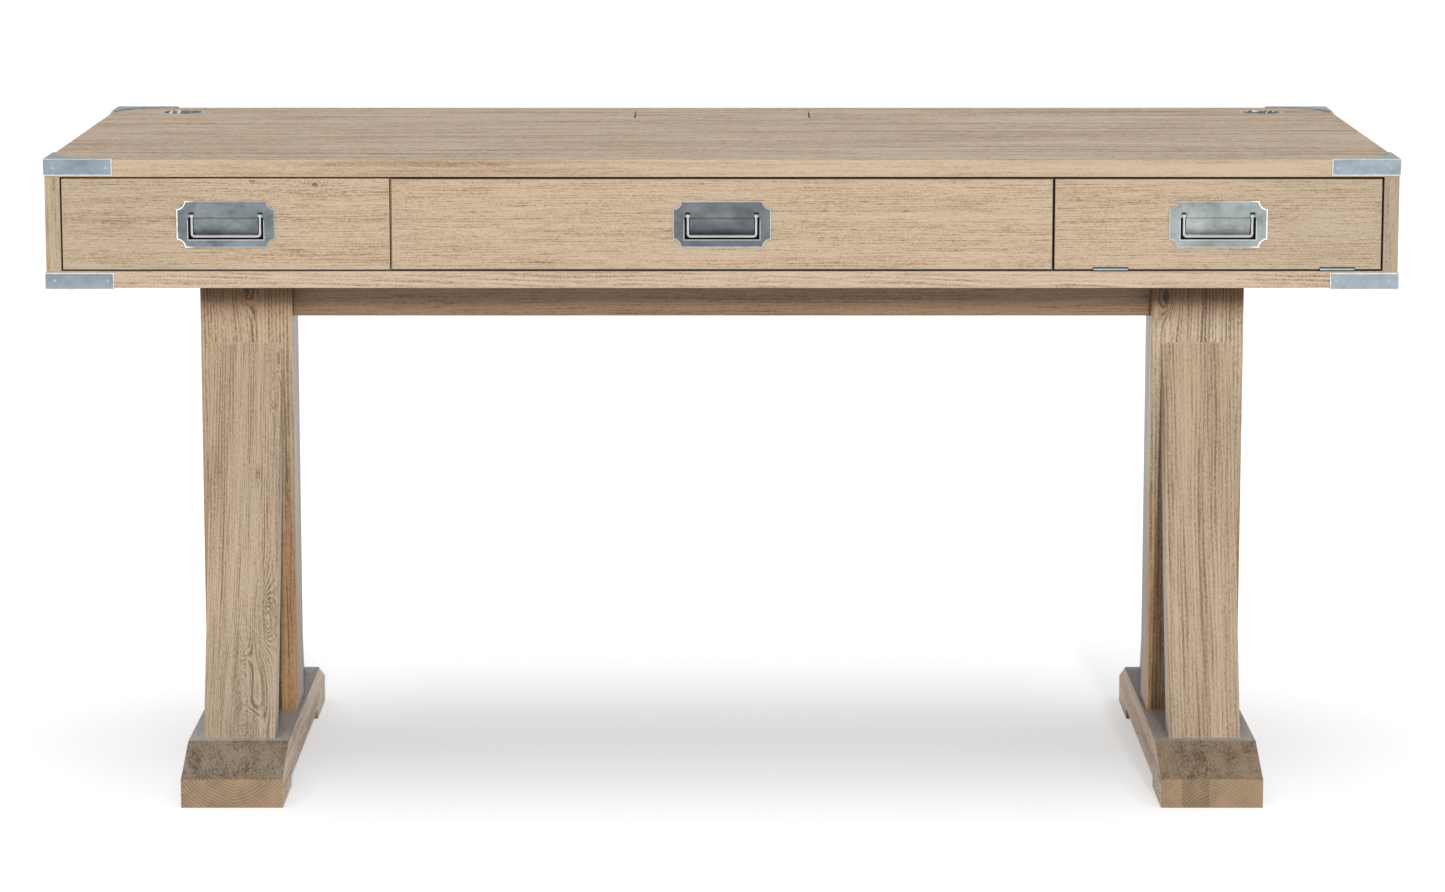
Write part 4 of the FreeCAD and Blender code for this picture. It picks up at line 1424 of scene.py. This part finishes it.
@dataclass
class Studio:
    """The white floor, the soft lights and the camera.

    Lengths are in metres and angles in degrees.
    """

    image_width: int = 1445
    focal_pixels: float = 4695.5
    sensor_width_mm: float = 36.0
    camera_place: tuple[float, float, float] = (0.0006, -5.8703, 1.3466)
    camera_dip: float = 9.2
    floor_size: float = 90.0
    floor_glow: float = 0.44
    floor_dark: Colour = (0.44, 0.445, 0.45)
    floor_pale: Colour = (0.48, 0.483, 0.486)
    sky_strength: float = 0.25
    horizon_strength: float = 1.0
    horizon_fade: Span = (0.12, 0.45)
    key_turn: float = 3.5
    key_rise: float = 10.8
    key_spread: float = 3.0
    key_strength: float = 3.2
    roof_lean: float = 8.0
    roof_spread: float = 70.0
    roof_strength: float = 3.5
    light_distance: float = 5.0
    lights: list[bpy.types.Object] = field(default_factory=list)

    def build(self) -> None:
        """Set the stage round the desk."""
        self.add_sky()
        self.add_floor()
        self.add_light(
            "roof_light", self.roof_strength, self.roof_spread, 0.0, 90.0 - self.roof_lean
        )
        self.add_light(
            "key_light", self.key_strength, self.key_spread, self.key_turn, self.key_rise
        )
        self.add_camera()
        bpy.context.scene.view_settings.view_transform = "Standard"
        LOG.info("studio: floor, sky, %d lights and camera set", len(self.lights))

    def add_sky(self) -> None:
        """Surround the desk with soft white light, brightest along the horizon."""
        sky = bpy.data.worlds.new("white_studio")
        bpy.context.scene.world = sky
        graph = Graph(sky)
        towards = graph.split(graph.node("ShaderNodeTexCoord").outputs["Generated"])
        strength = graph.node(
            "ShaderNodeMapRange",
            {"interpolation_type": "SMOOTHSTEP"},
            {
                "Value": towards[2],
                "From Min": self.horizon_fade[0],
                "From Max": self.horizon_fade[1],
                "To Min": self.horizon_strength,
                "To Max": self.sky_strength,
            },
        )
        light = {"Color": WHITE, "Strength": strength.outputs["Result"]}
        shader = graph.node("ShaderNodeBackground", None, light)
        graph.node("ShaderNodeOutputWorld", None, {"Surface": shader.outputs[0]})

    def add_floor(self) -> None:
        """Lay a wide pale floor under the feet."""
        mesh = bpy.data.meshes.new("studio_floor")
        shape = bmesh.new()
        bmesh.ops.create_grid(shape, x_segments=1, y_segments=1, size=self.floor_size / 2)
        shape.to_mesh(mesh)
        shape.free()
        floor = bpy.data.objects.new("studio_floor", mesh)
        bpy.context.scene.collection.objects.link(floor)
        graph = Graph.of_material("floor_paper")
        spot, _ = graph.place()
        fleck = Layer((0.02, 0.02, 0.02)).on(graph, spot)
        colour = graph.ramp(
            0.5 + fleck * 0.3, ((0.0, self.floor_dark), (1.0, self.floor_pale))
        )
        glow = {"Emission Color": WHITE, "Emission Strength": self.floor_glow}
        mesh.materials.append(graph.surface(colour, 0.9, 0.5 + fleck, 0.1, glow))

    def add_light(
        self, name: str, strength: float, spread: float, turn: float, rise: float
    ) -> None:
        """Add one distant light.

        Args:
            name: The light's name.
            strength: Its strength.
            spread: How wide it looks from the desk, in degrees.
            turn: How far right of the front it stands, in degrees.
            rise: How high above the horizon it stands, in degrees.
        """
        data = bpy.data.lights.new(name, "SUN")
        data.energy = strength
        data.angle = math.radians(spread)
        light = bpy.data.objects.new(name, data)
        light.visible_glossy = False
        level = math.cos(math.radians(rise))
        towards = Vector((
            level * math.sin(math.radians(turn)),
            -level * math.cos(math.radians(turn)),
            math.sin(math.radians(rise)),
        ))
        light.location = towards * self.light_distance
        light.rotation_euler = (-towards).to_track_quat("-Z", "Y").to_euler()
        bpy.context.scene.collection.objects.link(light)
        self.lights.append(light)

    def add_camera(self) -> None:
        """Stand the camera where the photograph was taken."""
        data = bpy.data.cameras.new("camera")
        data.sensor_width = self.sensor_width_mm
        data.lens = self.focal_pixels * self.sensor_width_mm / self.image_width
        camera = bpy.data.objects.new("camera", data)
        camera.location = self.camera_place
        camera.rotation_euler = (math.radians(90.0 - self.camera_dip), 0.0, 0.0)
        bpy.context.scene.collection.objects.link(camera)
        bpy.context.scene.camera = camera


def left_leg() -> Pedestal:
    """Return the leg at the left end, with the knots of its boards.

    Returns:
        The leg.
    """
    return Pedestal(
        "left",
        foot=replace(
            FOOT, tones=FOOT_TONES.tinted(1.0, 1.0, 1.02), heart=(-30.0, 75.0), seed=15.7,
            level_grey=(0.36, 0.35, 0.345), stave=62.0, joint=-593.0,
        ),
        post=replace(
            POST, tones=STAND_TONES.tinted(0.97, 0.90, 0.85), heart=(-200.0, -60.0),
            seed=16.3, painted_shades=(CASE_SHADOW_ON_POST, BRACE_SHADE_ON_POST),
            knots=(
                Knot(601.0, -594.3, 13.0, 5.5, 0.9, 0.35),
                Knot(301.4, -555.0, 2.0, 1.8, 0.9, 0.8),
            ),
        ),
        front_brace=replace(
            FRONT_BRACE, tones=STAND_TONES.tinted(1.05, 1.05, 1.07), heart=(-130.0, -40.0),
            seed=17.8, ring_strength=0.95, fibre_strength=0.95, knot_rings=0.3,
            knots=(
                Knot(515.0, -556.0, 7.0, 3.0, 0.3, 0.3, 2.4),
                Knot(470.0, -562.0, 6.0, slimness=0.25, bulge=2.0),
                Knot(377.0, -580.0, 5.0, 1.6, 0.5, 0.4),
                Knot(205.0, -564.0, 15.0, slimness=0.35, bulge=2.0),
                Knot(132.0, -594.0, 18.0, slimness=0.4, bulge=2.0),
                Knot(70.0, -590.0, 24.0, slimness=0.8, bulge=2.2),
            ),
        ),
        rear_brace=replace(REAR_BRACE, heart=(90.0, -60.0), seed=18.1),
    )


def right_leg() -> Pedestal:
    """Return the leg at the right end, with the knot of its post.

    Returns:
        The leg.
    """
    tones = replace(FOOT_TONES.tinted(0.96, 0.88, 0.83), end=(0.136, 0.0925, 0.054))
    return Pedestal(
        "right",
        foot=replace(
            FOOT, tones=tones, heart=(-20.0, -70.0), seed=19.5,
            level_grey=(0.30, 0.285, 0.275), stave=33.0, joint=592.0,
        ),
        post=replace(
            POST, tones=STAND_TONES.tinted(1.05, 1.04, 1.05), heart=(180.0, -60.0),
            seed=20.6, painted_shades=(CASE_SHADOW_ON_RIGHT_POST, BRACE_SHADE_ON_POST),
            knots=(Knot(592.0, 555.6, 13.0, 6.0, 0.95, 0.4),),
        ),
        front_brace=replace(
            FRONT_BRACE, tones=STAND_TONES.tinted(1.06, 1.05, 1.05), heart=(-150.0, -40.0),
            seed=22.2, ring=4.6, ring_strength=1.0,
        ),
        rear_brace=replace(REAR_BRACE, heart=(150.0, -60.0), seed=23.5),
    )


def drawers() -> list[Drawer]:
    """Return the two drawers, each with the front that the photograph shows.

    Returns:
        The left drawer and the centre drawer.
    """
    # The left front's edges and rim take painted light, which thins its gap lines, and
    # painted shade comes in towards the desk's left end.
    left_front = replace(
        FRONT_BOARD, heart=(-150.0, -50.0), seed=11.2, edge_tint=PAINTED_GAP_LIGHT, rim=0.7,
        rim_tint=PAINTED_GAP_LIGHT, painted_shades=(PaintedShade(-540.0, -690.0, (0.92, 0.93, 0.94)),),
        knots=(
            Knot(-554.7, 769.3, 7.0, 2.4, 0.6),
            Knot(-480.9, 765.1, 11.0, 3.4, 0.75),
            Knot(-485.5, 753.5, 3.0, 1.4, 0.6),
        ),
    )
    centre_front = replace(GAP_SHADED_FRONT, heart=(-170.0, -50.0), seed=12.9)
    return [
        Drawer("left_drawer", front=left_front),
        Drawer("centre_drawer", front=centre_front),
    ]


def pulls() -> list[Pull]:
    """Return the three pulls, each as bright as it is in the photograph: the centre plate
    and scoop are painted darker as shaded, and the right ones painted lighter as lit.

    Returns:
        The left, centre and right pull.
    """
    centre = replace(
        Pull.plate, pale=(0.150, 0.166, 0.174), dark=(0.070, 0.080, 0.085), lit_side=0.0,
        edge_highlight=0.4, recess=Recess(scoop_light_and_shade=(0.72, 0.74, 0.80)),
    )
    right = replace(
        Pull.plate, pale=(0.310, 0.346, 0.344), dark=(0.150, 0.172, 0.170), lit_side=1.0,
        recess=Recess(scoop_light_and_shade=(1.18, 1.14, 1.08)),
    )
    return [Pull("left"), Pull("centre", plate=centre), Pull("right", plate=right)]


def pieces() -> list[Union[Assembly, Studio]]:
    """Return every sub-assembly of the desk, in the order in which they are built.

    Returns:
        The sub-assemblies, with the studio last.
    """
    return [
        Case(),
        *drawers(),
        DropFront(),
        left_leg(),
        right_leg(),
        Stand(),
        CornerBrackets(),
        *pulls(),
        CableWays(),
        Studio(),
    ]


def main() -> None:
    """Build every sub-assembly in order."""
    logging.basicConfig(level=logging.INFO, format="%(name)s: %(message)s")
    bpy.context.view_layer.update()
    for part in pieces():
        part.build()


if __name__ == "__main__":
    main()
